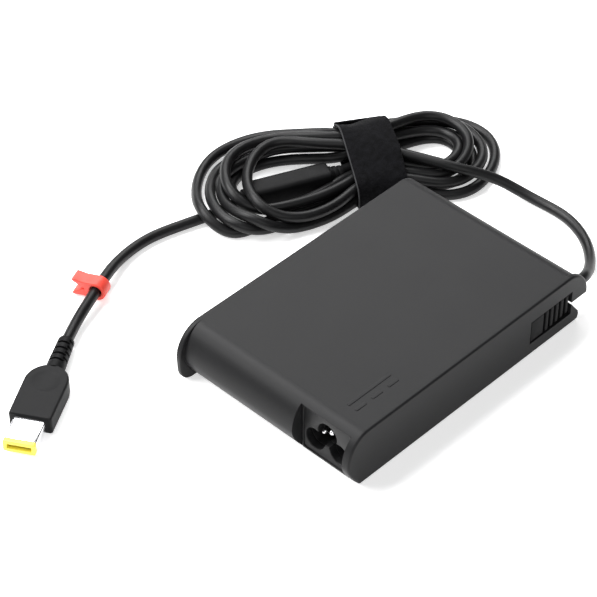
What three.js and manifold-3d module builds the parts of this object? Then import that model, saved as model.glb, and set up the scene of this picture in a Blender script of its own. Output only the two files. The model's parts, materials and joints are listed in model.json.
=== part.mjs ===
// A slim laptop power adapter: a flat plastic case with rolled ends, a three-pin mains
// inlet, a potted switching supply inside, and a DC cord tied in a hank with a flat plug.
// Millimetres, +Z up. The origin is under the middle of the case. +X points to the end
// that the DC cord leaves, and the mains inlet is in the -X end.
import * as THREE from 'three';
import { mergeVertices } from 'three/addons/utils/BufferGeometryUtils.js';
import Module from 'manifold-3d';

const wasm = await Module();
wasm.setup();

// ---- driving dimensions ----
const GAP = 0.3;                 // clearance between touching pieces
const LENGTH = 121.5;            // over the two end flanges
const WIDTH = 77;
const HEIGHT = 22;
const SKIN = 2.2;                // case wall
const FLANGE = { proud: 2, thick: 2.2, radiusX: 11, footInset: 5, footZ: 5.5 };
const NOSE = { reach: 9, bulgeZ: 10.5, bendZ: 6.5, undercut: 5.6 };
const NOSE_X = LENGTH / 2 - FLANGE.proud;
const SIDE_Y = WIDTH / 2;

const COVER = { length: 99.4, width: 65.4, plate: 1.1, step: 2, thick: 2 };
const LABEL = { length: 60, width: 34, thick: 0.25, recess: 0.4 };

const INLET = { faceX: -53.9, backX: -38.4, y: -24.5, width: 22, lowZ: 2.2, highZ: 18.1 };
const CLOVER = { sideY: 5.3, sideZ: 7.9, topZ: 12.6, lobe: 3.6, middle: 3.9, depth: 11.5 };
// The earth pin stands forward of the other two.
const PIN = { radius: 1.2, tailX: -36.4, setBack: { line: 3.6, neutral: 3.6, earth: 1.5 } };

const OUTLET = { startX: 30.5, endX: 52.2, y: -33, z: 10.2, half: 5, backY: -28.2, tipX: 57.4 };
const OUTLET_BOOT = { blockEndX: 37.6, core: 2.7, ribs: 5, firstRibX: 38.7, pitch: 2.75, ribWidth: 1.75 };
const NOTCH_TOP_Z = 10.2;

const BOARD = { lowZ: 5, thick: 1.6, halfX: 49, halfY: 32.5 };
const PART_Z = BOARD.lowZ + BOARD.thick + GAP;      // where the components stand
const SPREADER = { lowZ: 3.1, highZ: 18.2, thick: 0.5 };

const CORD_RADIUS = 2;
const HANK = { x: 56.7, y: 71, heading: -30.5, height: 13.3 };
const TIE_TURN = -2.5;           // the strap sits a little askew on the hank
const WAIST = { startU: -4.9, endU: 23.7 };
const STRAP = {
  startU: 0, width: 19, thick: 1.2, nearV: -18.3, farV: 21.3, crownV: 1.5,
  lowZ: 0.3, shoulderZ: 4, crownZ: 15.1,
};
const TAB = { topZ: 9, length: 7.5, thick: 1 };
const FERRITE = { u: -22.4, v: -3, turn: 6.6, length: 31, width: 9, height: 8 };

const CLIP = {
  x: -50.6, y: 88.2, z: 4.3, heading: 203.2, width: 5.4, outer: 3.8,
  reach: 9, jaw: 1.9, slitStart: 4.4, slitEnd: 6.2,
};
const PLUG = {
  neckX: -88.75, neckY: 68.2, heading: 210.5, length: 25.2, width: 15.1, height: 7,
  neckHalf: 3, shoulder: 9,
};
const PLUG_BOOT = { x: -75.9, y: 76.4, length: 14.7, tipRadius: 2.8, rootRadius: 3.3 };
const BARREL = { width: 11, height: 4.5, wall: 0.45, length: 10, inPlug: 5, lip: 1.5 };

// The DC cord's route where it isn't coiled: outlet to hank, then hank to plug.
const LEAD_ROUTE = [
  [57.7, -33, 10.2], [62, -32.9, 10], [66.5, -32.4, 9.2], [71.5, -30.2, 7], [77.5, -26.6, 4.6],
  [83.8, -21.3, 2.8], [88.7, -15.6, 2.1], [91.8, -9.5, 2.1], [93.9, -2.5, 2.1], [94.2, 4.3, 2.1],
  [93.8, 10.9, 2.1], [92.9, 16.9, 2.9], [91.4, 22.6, 4.2],
];
const TAIL_ROUTE = [
  [-1.5, 92.2, 2.1], [-6.8, 93.8, 2.1], [-16.5, 96.3, 2.1], [-25.4, 96.7, 2.1], [-34.2, 95, 2.8],
  [-42, 91.9, 4.2], [-50.6, 88.2, 4.3], [-59.2, 84.5, 4.2], [-66.6, 81.4, 3.5], [-75.3, 76.7, 3.5],
];

// Outlines of the hank's two ends seen from above, (u, v) round from one side of the strap
// to the other, and the open middle of each end's loops.
const LEFT_END = [
  [-6.1, -17], [-16, -24], [-30, -27], [-42, -26], [-52, -20.5], [-58.4, -12], [-59.4, -5], [-57.4, 4],
  [-53.4, 14.2], [-46.4, 23], [-38, 27.4], [-29, 27.6], [-17, 24.5], [-4.6, 18.5],
];
const LEFT_MIDDLE = [[-41, -8.4], [-39, -11], [-9, -9.4], [0, -8], [0, 7], [-10, 8.6], [-33, 8], [-41, 4]];
const RIGHT_END = [
  [25.2, 18.5], [32, 22.6], [41, 23.2], [49.6, 20.8], [56.4, 14], [59.5, 4], [58.4, -5], [53.6, -13.2],
  [45, -20.8], [37, -23.6], [30, -22.2], [23.6, -18],
];
const RIGHT_MIDDLE = [[28, -5.5], [31, -6.6], [38.5, -4.6], [41, -1], [41, 4], [38, 8.6], [31, 9.6], [28, 8]];

// ---- finishes ----
const finish = (color, roughness, metalness = 0) =>
  new THREE.MeshStandardMaterial({ color, roughness, metalness });
const CHARCOAL = finish(0x2c2c2d, 0.62);
const BLACK = finish(0x141415, 0.5);
const RUBBER = finish(0x1b1b1c, 0.7);
const FABRIC = finish(0x0c0c0d, 0.95);
const RED = finish(0xe0483c, 0.45);
const YELLOW = finish(0xe8d23a, 0.4);
const STEEL = finish(0xc8c8ca, 0.25, 1);
const COPPER = finish(0xb5652f, 0.35, 1);
const ALUMINIUM = finish(0xa9abad, 0.4, 1);
const BOARD_GREEN = finish(0x1f5a33, 0.6);
const FERRITE_GREY = finish(0x3a3a3c, 0.7);
const LABEL_GREY = finish(0x9a9b9c, 0.55);

// ---- shapes to solids ----
function solid(geometry) {
  const bare = geometry.clone();
  bare.deleteAttribute('normal');
  bare.deleteAttribute('uv');
  const merged = mergeVertices(bare, 1e-4);
  return new wasm.Manifold(new wasm.Mesh({
    numProp: 3,
    vertProperties: new Float32Array(merged.attributes.position.array),
    triVerts: new Uint32Array(merged.index.array),
  }));
}

function geometryOf(manifold) {
  const mesh = manifold.getMesh();
  const geometry = new THREE.BufferGeometry();
  geometry.setAttribute('position', new THREE.BufferAttribute(mesh.vertProperties, 3));
  geometry.setIndex(new THREE.BufferAttribute(mesh.triVerts, 1));
  return geometry;
}

const union = (...solids) => solids.reduce((whole, next) => whole.add(next));
const cut = (body, ...tools) => tools.reduce((left, tool) => left.subtract(tool), body);

// A box given by its lowest and highest corners.
function boxShape([x0, y0, z0], [x1, y1, z1]) {
  const geometry = new THREE.BoxGeometry(x1 - x0, y1 - y0, z1 - z0);
  return geometry.translate((x0 + x1) / 2, (y0 + y1) / 2, (z0 + z1) / 2);
}
const box = (low, high) => solid(boxShape(low, high));

// An outline drawn in the plane across an axis, and pushed along it from low to high:
// across x it is (y, z), across y it is (x, z), across z it is (x, y).
const X = new THREE.Vector3(1, 0, 0);
const Y = new THREE.Vector3(0, 1, 0);
const Z = new THREE.Vector3(0, 0, 1);
const PLANES = {
  x: new THREE.Matrix4().makeBasis(Y, Z, X),
  y: new THREE.Matrix4().makeBasis(X, Z, Y.clone().negate()),
  z: new THREE.Matrix4(),
};
function prism(shape, axis, low, high, curveSegments = 8) {
  const depth = high - low;
  const geometry = new THREE.ExtrudeGeometry(shape, { depth, bevelEnabled: false, curveSegments });
  geometry.translate(0, 0, axis === 'y' ? -high : low);
  return geometry.applyMatrix4(PLANES[axis]);
}

// A round bar along an axis, with its middle line through the point (p, q) across it.
function rod(axis, p, q, radius, low, high, sides = 16) {
  const circle = new THREE.Shape().absarc(p, q, radius, 0, Math.PI * 2);
  return prism(circle, axis, low, high, sides / 2);
}

function roundedRect(halfWidth, halfHeight, corner, middleX = 0, middleY = 0) {
  const shape = new THREE.Shape();
  const x = halfWidth - corner;
  const y = halfHeight - corner;
  shape.absarc(middleX + x, middleY + y, corner, 0, Math.PI / 2);
  shape.absarc(middleX - x, middleY + y, corner, Math.PI / 2, Math.PI);
  shape.absarc(middleX - x, middleY - y, corner, Math.PI, Math.PI * 1.5);
  shape.absarc(middleX + x, middleY - y, corner, Math.PI * 1.5, Math.PI * 2);
  shape.closePath();
  return shape;
}

const polygon = (points) => new THREE.Shape(points.map(([x, y]) => new THREE.Vector2(x, y)));

// A round cord or wire along a smooth line through the points.
function tube(points, radius, sides, steps) {
  const path = new THREE.CatmullRomCurve3(points.map((p) => new THREE.Vector3(...p)), false, 'centripetal');
  const section = new THREE.Shape();
  for (let i = 0; i < sides; i += 1) {
    const angle = (i / sides) * Math.PI * 2;
    const corner = [radius * Math.cos(angle), radius * Math.sin(angle)];
    if (i === 0) section.moveTo(...corner);
    else section.lineTo(...corner);
  }
  section.closePath();
  return new THREE.ExtrudeGeometry(section, { extrudePath: path, steps, bevelEnabled: false, curveSegments: 1 });
}

const group = new THREE.Group();
function add(name, geometry, material, parent = group) {
  const mesh = new THREE.Mesh(geometry, material);
  mesh.name = name;
  parent.add(mesh);
  return mesh;
}

// A group standing at a point on the table, turned about the vertical.
function placed(x, y, headingDegrees, z = 0) {
  const holder = new THREE.Group();
  holder.position.set(x, y, z);
  holder.rotation.z = THREE.MathUtils.degToRad(headingDegrees);
  group.add(holder);
  return holder;
}

// ---- case ----
// Side view of the case: flat top and bottom, and ends that roll over in a large curve
// and then taper back in to the bottom edge. "inset" shrinks it for the hollow inside.
function caseOutline(inset, bottomZ) {
  const tipX = NOSE_X - inset;
  const topZ = HEIGHT - inset;
  const startX = NOSE_X - NOSE.reach;
  const footX = NOSE_X - NOSE.undercut - inset;
  const shape = new THREE.Shape();
  shape.moveTo(-footX, bottomZ);
  shape.lineTo(footX, bottomZ);
  shape.quadraticCurveTo(tipX, NOSE.bendZ, tipX, NOSE.bulgeZ);
  shape.absellipse(startX, NOSE.bulgeZ, tipX - startX, topZ - NOSE.bulgeZ, 0, Math.PI / 2);
  shape.absellipse(-startX, NOSE.bulgeZ, tipX - startX, topZ - NOSE.bulgeZ, Math.PI / 2, Math.PI);
  shape.quadraticCurveTo(-tipX, NOSE.bendZ, -footX, bottomZ);
  return shape;
}

// The thin flange at one corner of each end, a fuller curve that stands proud of the nose.
function flange() {
  const tipX = LENGTH / 2;
  const startX = tipX - FLANGE.radiusX;
  const shape = new THREE.Shape();
  shape.moveTo(startX - 5, 0);
  shape.lineTo(tipX - FLANGE.footInset, 0);
  shape.quadraticCurveTo(tipX - 0.4, 0.6, tipX - 0.2, FLANGE.footZ);
  shape.lineTo(tipX, NOSE.bulgeZ);
  shape.absellipse(startX, NOSE.bulgeZ, FLANGE.radiusX, HEIGHT - NOSE.bulgeZ, 0, Math.PI / 2);
  shape.lineTo(startX - 5, HEIGHT);
  shape.closePath();
  return solid(prism(shape, 'y', -SIDE_Y, -SIDE_Y + FLANGE.thick, 10));
}

// The tunnel in the -X end that the mains inlet sits in, with walls 1.8 thick.
function inletTunnel(outer) {
  const lowY = INLET.y - INLET.width / 2;
  const highY = INLET.y + INLET.width / 2;
  const wall = 1.8;
  const block = box([-LENGTH / 2, -SIDE_Y, 0], [-49.5, highY + wall, HEIGHT - 1]);
  const hole = box([-LENGTH, lowY, INLET.lowZ], [INLET.backX + 1, highY, INLET.highZ]);
  return { block: block.intersect(outer), hole };
}

// The pocket in the -Y side that shows the cord's strain relief, its way out through the
// +X end, and the notch below it where the cord can be turned to either side.
function outletPocket(outer) {
  const { startX, endX, y, z, half, backY } = OUTLET;
  const wall = 2;
  const block = box([startX - wall, -SIDE_Y, 3], [LENGTH / 2, backY + wall, HEIGHT - 1]);
  const pocket = box([startX, -WIDTH, z - half], [endX, backY, z + half]);
  const flangeBackY = -SIDE_Y + FLANGE.thick;
  const passage = box([endX - 1, flangeBackY, z - 4], [LENGTH, backY - 0.7, z + 4]);
  const notchSide = polygon([
    [endX - 0.2, NOTCH_TOP_Z], [LENGTH, NOTCH_TOP_Z], [LENGTH, -1], [55.7, -1],
    [56.6, 2.6], [56.2, 4.2], [endX - 0.2, NOTCH_TOP_Z - 0.4],
  ]);
  const notch = solid(prism(notchSide, 'y', -WIDTH, backY - 0.7));
  const wireHole = box([startX - wall - 1, y - 2.6, z - 1.6], [startX + 1, y + 2.6, z + 1.6]);
  return { block: block.intersect(outer), holes: [pocket, passage, notch, wireHole] };
}

function upperCase() {
  const outline = solid(prism(caseOutline(0, 0), 'y', -SIDE_Y, SIDE_Y, 10));
  const nearFlange = flange();
  const outer = union(outline, nearFlange, nearFlange.rotate([0, 0, 180]));
  const floorZ = COVER.thick + GAP;
  const hollow = solid(prism(caseOutline(SKIN, floorZ), 'y', -SIDE_Y + SKIN, SIDE_Y - SKIN, 8));
  const inlet = inletTunnel(outer);
  const outlet = outletPocket(outer);
  const halfL = COVER.length / 2 + GAP;
  const halfW = COVER.width / 2 + GAP;
  const mouth = box([-halfL, -halfW, -1], [halfL, halfW, COVER.plate + GAP]);
  const throat = box(
    [-halfL + COVER.step, -halfW + COVER.step, -1],
    [halfL - COVER.step, halfW - COVER.step, floorZ + 1],
  );
  const shell = union(cut(outer, hollow), inlet.block, outlet.block);
  return cut(shell, inlet.hole, ...outlet.holes, mouth, throat);
}

// The flat cover that closes the case from below, stepped to rest on the case's ledge.
function baseCover() {
  const halfL = COVER.length / 2;
  const halfW = COVER.width / 2;
  const plate = box([-halfL, -halfW, 0], [halfL, halfW, COVER.plate]);
  const step = COVER.step + GAP;
  const boss = box([-halfL + step, -halfW + step, COVER.plate - 0.2], [halfL - step, halfW - step, COVER.thick]);
  const recess = box(
    [-LABEL.length / 2 - GAP, -LABEL.width / 2 - GAP, -1],
    [LABEL.length / 2 + GAP, LABEL.width / 2 + GAP, LABEL.recess],
  );
  return cut(union(plate, boss), recess);
}

add('upper_case', geometryOf(upperCase()), CHARCOAL);
add('base_cover', geometryOf(baseCover()), CHARCOAL);
add('rating_label', boxShape(
  [-LABEL.length / 2, -LABEL.width / 2, LABEL.recess - LABEL.thick - 0.05],
  [LABEL.length / 2, LABEL.width / 2, LABEL.recess - 0.05],
), LABEL_GREY);

// ---- mains inlet ----
// A block with a three-lobed socket, and a pin in each lobe.
const pinPlaces = {
  line: [INLET.y - CLOVER.sideY, CLOVER.sideZ],
  neutral: [INLET.y + CLOVER.sideY, CLOVER.sideZ],
  earth: [INLET.y, CLOVER.topZ],
};
function inletHousing() {
  const body = box(
    [INLET.faceX, INLET.y - INLET.width / 2 + GAP, INLET.lowZ + GAP],
    [INLET.backX, INLET.y + INLET.width / 2 - GAP, INLET.highZ - GAP],
  );
  const floorX = INLET.faceX + CLOVER.depth;
  const middleZ = (CLOVER.sideZ + CLOVER.topZ) / 2 - 0.4;
  const lobes = Object.values(pinPlaces).map(([y, z]) =>
    solid(rod('x', y, z, CLOVER.lobe, INLET.faceX - 1, floorX, 20)));
  const middle = solid(rod('x', INLET.y, middleZ, CLOVER.middle, INLET.faceX - 1, floorX, 20));
  const pinHoles = Object.values(pinPlaces).map(([y, z]) =>
    solid(rod('x', y, z, PIN.radius + GAP, floorX - 1, INLET.backX + 1, 12)));
  return cut(body, ...lobes, middle, ...pinHoles);
}
add('inlet_housing', geometryOf(inletHousing()), BLACK);
for (const [name, [y, z]] of Object.entries(pinPlaces)) {
  add(`${name}_pin`, rod('x', y, z, PIN.radius, INLET.faceX + PIN.setBack[name], PIN.tailX, 12), STEEL);
}

// ---- strain relief at the outlet ----
// A plain root block, then a tapering core with ribs round it.
function outletBoot() {
  const { startX, endX, y, z, tipX } = OUTLET;
  const { blockEndX, core, ribs, firstRibX, pitch, ribWidth } = OUTLET_BOOT;
  const rootHalf = OUTLET.half - GAP;
  const block = box([startX + GAP, y - rootHalf - 0.3, z - rootHalf], [blockEndX, y + 4.4, z + rootHalf]);
  const corePrism = solid(prism(roundedRect(core, core, 1.2, y, z), 'x', blockEndX - 0.6, tipX, 3));
  const rings = [];
  for (let i = 0; i < ribs; i += 1) {
    const x = firstRibX + i * pitch;
    const half = rootHalf - 0.2 * i;
    const ring = roundedRect(half, half, 1, y - 0.3 + 0.12 * i, z);
    rings.push(solid(prism(ring, 'x', x, x + ribWidth, 2)));
  }
  const collar = solid(prism(roundedRect(3.2, 3.2, 1.6, y + 0.3, z), 'x', endX + 0.6, tipX - 1.2, 3));
  return union(block, corePrism, ...rings, collar);
}
add('outlet_strain_relief', geometryOf(outletBoot()), RUBBER);

// ---- circuit board and shields ----
// The board is cut back round the inlet and the outlet pocket. "inset" shrinks its outline.
function boardOutline(inset) {
  const x = BOARD.halfX - inset;
  const y = BOARD.halfY - inset;
  const inletY = INLET.y + INLET.width / 2 + 2.6 + inset;
  const inletX = INLET.backX + 5 + inset;
  const outletX = OUTLET.startX - 2.6 - inset;
  const outletY = OUTLET.backY + 2.6 + inset;
  return polygon([
    [inletX, -y], [outletX, -y], [outletX, outletY], [x, outletY],
    [x, y], [-x, y], [-x, inletY], [inletX, inletY],
  ]);
}
const sheet = (inset, lowZ, thick) => prism(boardOutline(inset), 'z', lowZ, lowZ + thick);
add('lower_heat_spreader', sheet(2, SPREADER.lowZ, SPREADER.thick), ALUMINIUM);
add('insulation_sheet', sheet(1, SPREADER.lowZ + SPREADER.thick + GAP, 0.4), YELLOW);
add('main_board', sheet(0, BOARD.lowZ, BOARD.thick), BOARD_GREEN);
add('upper_heat_spreader', sheet(2, SPREADER.highZ, SPREADER.thick), ALUMINIUM);

// ---- components ----
const standing = (x, y, radius, height, sides = 16) => rod('z', x, y, radius, PART_Z, PART_Z + height, sides);
const block = (x0, x1, y0, y1, height) => boxShape([x0, y0, PART_Z], [x1, y1, PART_Z + height]);

// A ring core standing on the board, and a winding sleeve round part of it.
function ringCore(x, y, inner, outer, lowZ, highZ) {
  const ring = new THREE.Shape().absarc(x, y, outer, 0, Math.PI * 2);
  ring.holes.push(new THREE.Path().absarc(x, y, inner, 0, Math.PI * 2, true));
  return prism(ring, 'z', lowZ, highZ, 10);
}
function ringWinding(x, y, inner, outer, lowZ, highZ, side) {
  const wire = 1;
  const grown = solid(ringCore(x, y, inner - wire - GAP, outer + wire + GAP, lowZ - wire, highZ + wire));
  const tunnel = solid(ringCore(x, y, inner - GAP, outer + GAP, lowZ - GAP, highZ + GAP));
  const reach = outer + 3;
  const half = side > 0
    ? box([x - reach, y + 1.5, 0], [x + reach, y + reach, HEIGHT])
    : box([x - reach, y - reach, 0], [x + reach, y - 1.5, HEIGHT]);
  return geometryOf(cut(grown, tunnel).intersect(half));
}

// A square ferrite core with a round centre post, open at two sides, and its coil.
function squareCore(x0, x1, y0, y1, height, post, coil) {
  const x = (x0 + x1) / 2;
  const y = (y0 + y1) / 2;
  const yoke = 2.2;
  const lowZ = PART_Z + yoke;
  const highZ = PART_Z + height - yoke;
  const window = cut(
    solid(rod('z', x, y, coil + GAP, lowZ, highZ, 24)),
    solid(rod('z', x, y, post, lowZ - 1, highZ + 1, 20)),
  );
  const sideWay = cut(
    box([x - coil * 0.75, y0 - 1, lowZ], [x + coil * 0.75, y1 + 1, highZ]),
    solid(rod('z', x, y, post, lowZ - 1, highZ + 1, 20)),
  );
  return {
    core: geometryOf(cut(solid(block(x0, x1, y0, y1, height)), window, sideWay)),
    coil: ringCore(x, y, post + GAP, coil, lowZ + GAP, highZ - GAP),
  };
}

function boardComponents() {
  const lyingZ = PART_Z + 5.3;
  add('fuse', rod('x', -30, PART_Z + 2.7, 2.6, -28, -14), LABEL_GREY);
  add('x_capacitor', block(-28, -13, -24.5, -16.5, 9.5), YELLOW);
  add('bridge_rectifier', block(-46, -42, -7, 9, 10), BLACK);
  add('thermistor', rod('x', 15, PART_Z + 4.6, 4.5, -46, -42.5), BOARD_GREEN);
  const choke = [-27, -2.5, 4, 8, PART_Z + 1.2, PART_Z + 8.4];
  add('line_choke_core', ringCore(...choke), FERRITE_GREY);
  add('line_choke_winding_left', ringWinding(...choke, 1), COPPER);
  add('line_choke_winding_right', ringWinding(...choke, -1), COPPER);
  add('bulk_capacitor_1', rod('x', 26, lyingZ, 5.3, -38, -6, 20), BLACK);
  add('bulk_capacitor_2', rod('x', 14.6, lyingZ, 5.3, -38, -6, 20), BLACK);
  const pfc = squareCore(-13, 8, -12, 7, 10.6, 3.6, 8.2);
  add('boost_choke_core', pfc.core, FERRITE_GREY);
  add('boost_choke_winding', pfc.coil, COPPER);
  const main = squareCore(14, 41, -13, 10, 10.8, 4.6, 10.6);
  add('transformer_core', main.core, FERRITE_GREY);
  add('transformer_winding', main.coil, COPPER);
  add('primary_heat_sink', block(-11, 11, -18.4, -16.6, 10.5), ALUMINIUM);
  add('boost_switch', block(-10.5, -0.8, -23, -18.7, 9), BLACK);
  add('main_switch', block(0.8, 10.5, -23, -18.7, 9), BLACK);
  add('secondary_heat_sink', block(14, 40, -18.4, -16.6, 10.5), ALUMINIUM);
  add('rectifier_switch', block(14.5, 24, -23, -18.7, 9), BLACK);
  for (let i = 0; i < 3; i += 1) {
    add(`output_capacitor_${i + 1}`, standing(14 + i * 10, 17, 4.2, 10.4), ALUMINIUM);
  }
  add('output_choke_core', ringCore(21, 27, 2, 4.4, PART_Z, PART_Z + 6), FERRITE_GREY);
  add('safety_capacitor', rod('x', 27, PART_Z + 4.2, 4, 4, 8), LABEL_GREY);
  add('optocoupler', block(2, 8.5, 14, 19, 3.5), BLACK);
  add('control_chip', block(-12, -6, -30, -25.5, 1.6), BLACK);
  add('secondary_chip', block(30, 36, 24.5, 29, 1.6), BLACK);
}
boardComponents();

// ---- wires inside ----
const WIRE = 0.8;
const LANDING_Z = PART_Z + 0.1;
function insideWires() {
  const tailX = PIN.tailX + GAP;
  for (const name of ['line', 'neutral']) {
    const [y, z] = pinPlaces[name];
    add(`${name}_wire`, tube(
      [[tailX, y, z], [tailX + 2, y, z + 0.8], [tailX + 4, y, z + 0.4], [tailX + 4.8, y, LANDING_Z]], WIRE, 8, 8,
    ), name === 'line' ? RED : BLACK);
  }
  const [earthY, earthZ] = pinPlaces.earth;
  add('earth_wire', tube(
    [[tailX, earthY, earthZ], [tailX + 2.6, earthY, earthZ - 0.2], [tailX + 4.4, earthY, 10.5],
      [tailX + 4.9, earthY, LANDING_Z]], WIRE, 8, 10,
  ), YELLOW);
  const innerX = OUTLET.startX;
  const outputs = { output_positive_wire: -1.2, output_negative_wire: 1.2 };
  for (const [name, side] of Object.entries(outputs)) {
    const y = OUTLET.y + side;
    add(name, tube(
      [[innerX, y, OUTLET.z], [innerX - 3.4, y, OUTLET.z], [innerX - 6, y + 1.8, OUTLET.z - 0.4],
        [innerX - 8, y + 3, LANDING_Z]], WIRE, 8, 10,
    ), side < 0 ? RED : BLACK);
  }
}
insideWires();

// ---- DC cord: the stretches that aren't coiled ----
add('dc_cord_lead', tube(LEAD_ROUTE, CORD_RADIUS, 10, 16), RUBBER);
add('dc_cord_tail', tube(TAIL_ROUTE, CORD_RADIUS, 10, 12), RUBBER);

// ---- the hank, its strap and the ferrite block in its loop ----
// All in the hank's own frame: u along it, v across it.
const hank = placed(HANK.x, HANK.y, HANK.heading);
const tie = new THREE.Group();
tie.rotation.z = THREE.MathUtils.degToRad(TIE_TURN);
hank.add(tie);

// One end of the hank: its outline pushed up to its height, with the loops' open middle.
function hankEnd(outline, middle) {
  const shape = new THREE.Shape();
  shape.moveTo(...outline[0]);
  shape.splineThru(outline.slice(1).map(([u, v]) => new THREE.Vector2(u, v)));
  shape.closePath();
  const whole = solid(prism(shape, 'z', 0, HANK.height, 40));
  return geometryOf(cut(whole, solid(prism(polygon(middle), 'z', -1, HANK.height + 1))));
}

// The strap's section across the hank: flat underneath, with a tall rounded back that
// follows the bundle of cords. "inset" shrinks it.
function strapSection(inset, PathKind = THREE.Shape) {
  const nearV = STRAP.nearV + inset;
  const farV = STRAP.farV - inset;
  const lowZ = STRAP.lowZ + inset;
  const crownZ = STRAP.crownZ - inset;
  const { crownV, shoulderZ } = STRAP;
  const lift = 7;
  const spread = 9.5;
  const foot = 2;
  const path = new PathKind();
  path.moveTo(nearV + foot, lowZ);
  path.lineTo(farV - foot, lowZ);
  path.quadraticCurveTo(farV, lowZ, farV, shoulderZ);
  path.bezierCurveTo(farV, shoulderZ + lift, crownV + spread, crownZ, crownV, crownZ);
  path.bezierCurveTo(crownV - spread, crownZ, nearV, shoulderZ + lift, nearV, shoulderZ);
  path.quadraticCurveTo(nearV, lowZ, nearV + foot, lowZ);
  return path;
}

function strapLoop() {
  const outline = strapSection(0);
  outline.holes.push(strapSection(STRAP.thick, THREE.Path));
  return prism(outline, 'x', STRAP.startU, STRAP.startU + STRAP.width, 8);
}

add('dc_cord_hank_left', hankEnd(LEFT_END, LEFT_MIDDLE), RUBBER, hank);
add('dc_cord_hank_middle', prism(strapSection(STRAP.thick + GAP), 'x', WAIST.startU, WAIST.endU, 8), RUBBER, tie);
add('dc_cord_hank_right', hankEnd(RIGHT_END, RIGHT_MIDDLE), RUBBER, hank);
add('cord_strap', strapLoop(), FABRIC, tie);

// The strap's free end lies down the far side of the loop.
const tabV = STRAP.farV + GAP;
const tabMargin = 0.5;
add('strap_tab', boxShape(
  [STRAP.startU + tabMargin, tabV, TAB.topZ - TAB.length],
  [STRAP.startU + STRAP.width - tabMargin, tabV + TAB.thick, TAB.topZ],
), FABRIC, tie);

const ferrite = new THREE.Group();
ferrite.position.set(FERRITE.u, FERRITE.v, FERRITE.height / 2);
ferrite.rotation.z = THREE.MathUtils.degToRad(FERRITE.turn);
hank.add(ferrite);
add('ferrite_block', prism(
  roundedRect(FERRITE.width / 2, FERRITE.height / 2, 1.6), 'x', -FERRITE.length / 2, FERRITE.length / 2, 3,
), RUBBER, ferrite);

// ---- cord clip ----
// A ring round the cord with two jaws that open to one side, drawn across the cord.
function clipShape() {
  const { outer, reach, jaw, slitStart, slitEnd } = CLIP;
  const bore = CORD_RADIUS + GAP;
  const edge = outer - 0.5;
  const slit = 0.5;
  const ring = solid(rod('x', 0, 0, outer, 0, CLIP.width, 20));
  const jaws = polygon([
    [0, -edge - 0.2], [-reach, -edge], [-reach, -edge + jaw], [-slitEnd, -slit], [-slitStart, -slit],
    [-slitStart, slit], [-slitEnd, slit], [-reach, edge - jaw], [-reach, edge], [0, edge + 0.2],
  ]);
  const body = union(ring, solid(prism(jaws, 'x', 0, CLIP.width)));
  return geometryOf(cut(body, solid(rod('x', 0, 0, bore, -1, CLIP.width + 1, 20))));
}
const clip = placed(CLIP.x, CLIP.y, CLIP.heading + 180, CLIP.z);
add('cord_clip', clipShape().translate(-CLIP.width / 2, 0, 0).rotateX(Math.PI), RED, clip);

// ---- DC plug ----
const plug = placed(PLUG.neckX, PLUG.neckY, PLUG.heading, PLUG.height / 2);
function plugBody() {
  const half = PLUG.width / 2;
  const { length, height, neckHalf, shoulder } = PLUG;
  const plan = new THREE.Shape();
  plan.moveTo(0, -neckHalf);
  plan.bezierCurveTo(1.2, -half + 2.7, 3.2, -half, shoulder, -half);
  plan.lineTo(length, -half + 0.3);
  plan.lineTo(length, half - 0.3);
  plan.lineTo(shoulder, half);
  plan.bezierCurveTo(3.2, half, 1.2, half - 2.7, 0, neckHalf);
  plan.closePath();
  const side = prism(roundedRect(half, height / 2, 1.4), 'x', -1, length + 1, 3);
  const body = solid(prism(plan, 'z', -height / 2, height / 2, 8)).intersect(solid(side));
  const slot = box(
    [length - BARREL.inPlug - GAP, -BARREL.width / 2 - GAP, -BARREL.height / 2 - GAP],
    [length + 1, BARREL.width / 2 + GAP, BARREL.height / 2 + GAP],
  );
  return cut(body, slot);
}
function frameAcross(halfY, halfZ, wall, low, high) {
  const outline = roundedRect(halfY, halfZ, 0.6);
  outline.holes.push(roundedRect(halfY - wall, halfZ - wall, 0.2));
  return prism(outline, 'x', low, high, 2);
}
function plugBarrel() {
  const low = PLUG.length - BARREL.inPlug;
  return frameAcross(BARREL.width / 2, BARREL.height / 2, BARREL.wall, low, PLUG.length + BARREL.length);
}
function plugTip() {
  const halfY = BARREL.width / 2;
  const halfZ = BARREL.height / 2;
  const end = PLUG.length + BARREL.length;
  const inset = BARREL.wall + GAP;
  const lip = solid(frameAcross(halfY, halfZ, 1.3, end + GAP, end + GAP + BARREL.lip));
  const sleeve = solid(frameAcross(halfY - inset, halfZ - inset, 1.3 - inset, end - 6, end + GAP + 0.4));
  return union(lip, sleeve);
}
add('plug_body', geometryOf(plugBody()), BLACK, plug);
add('plug_barrel', plugBarrel(), STEEL, plug);
add('plug_tip', geometryOf(plugTip()), YELLOW, plug);
add('plug_centre_pin', rod('x', 0, 0, 0.45, PLUG.length - BARREL.inPlug + 0.5, PLUG.length + 8, 8), STEEL, plug);

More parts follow.
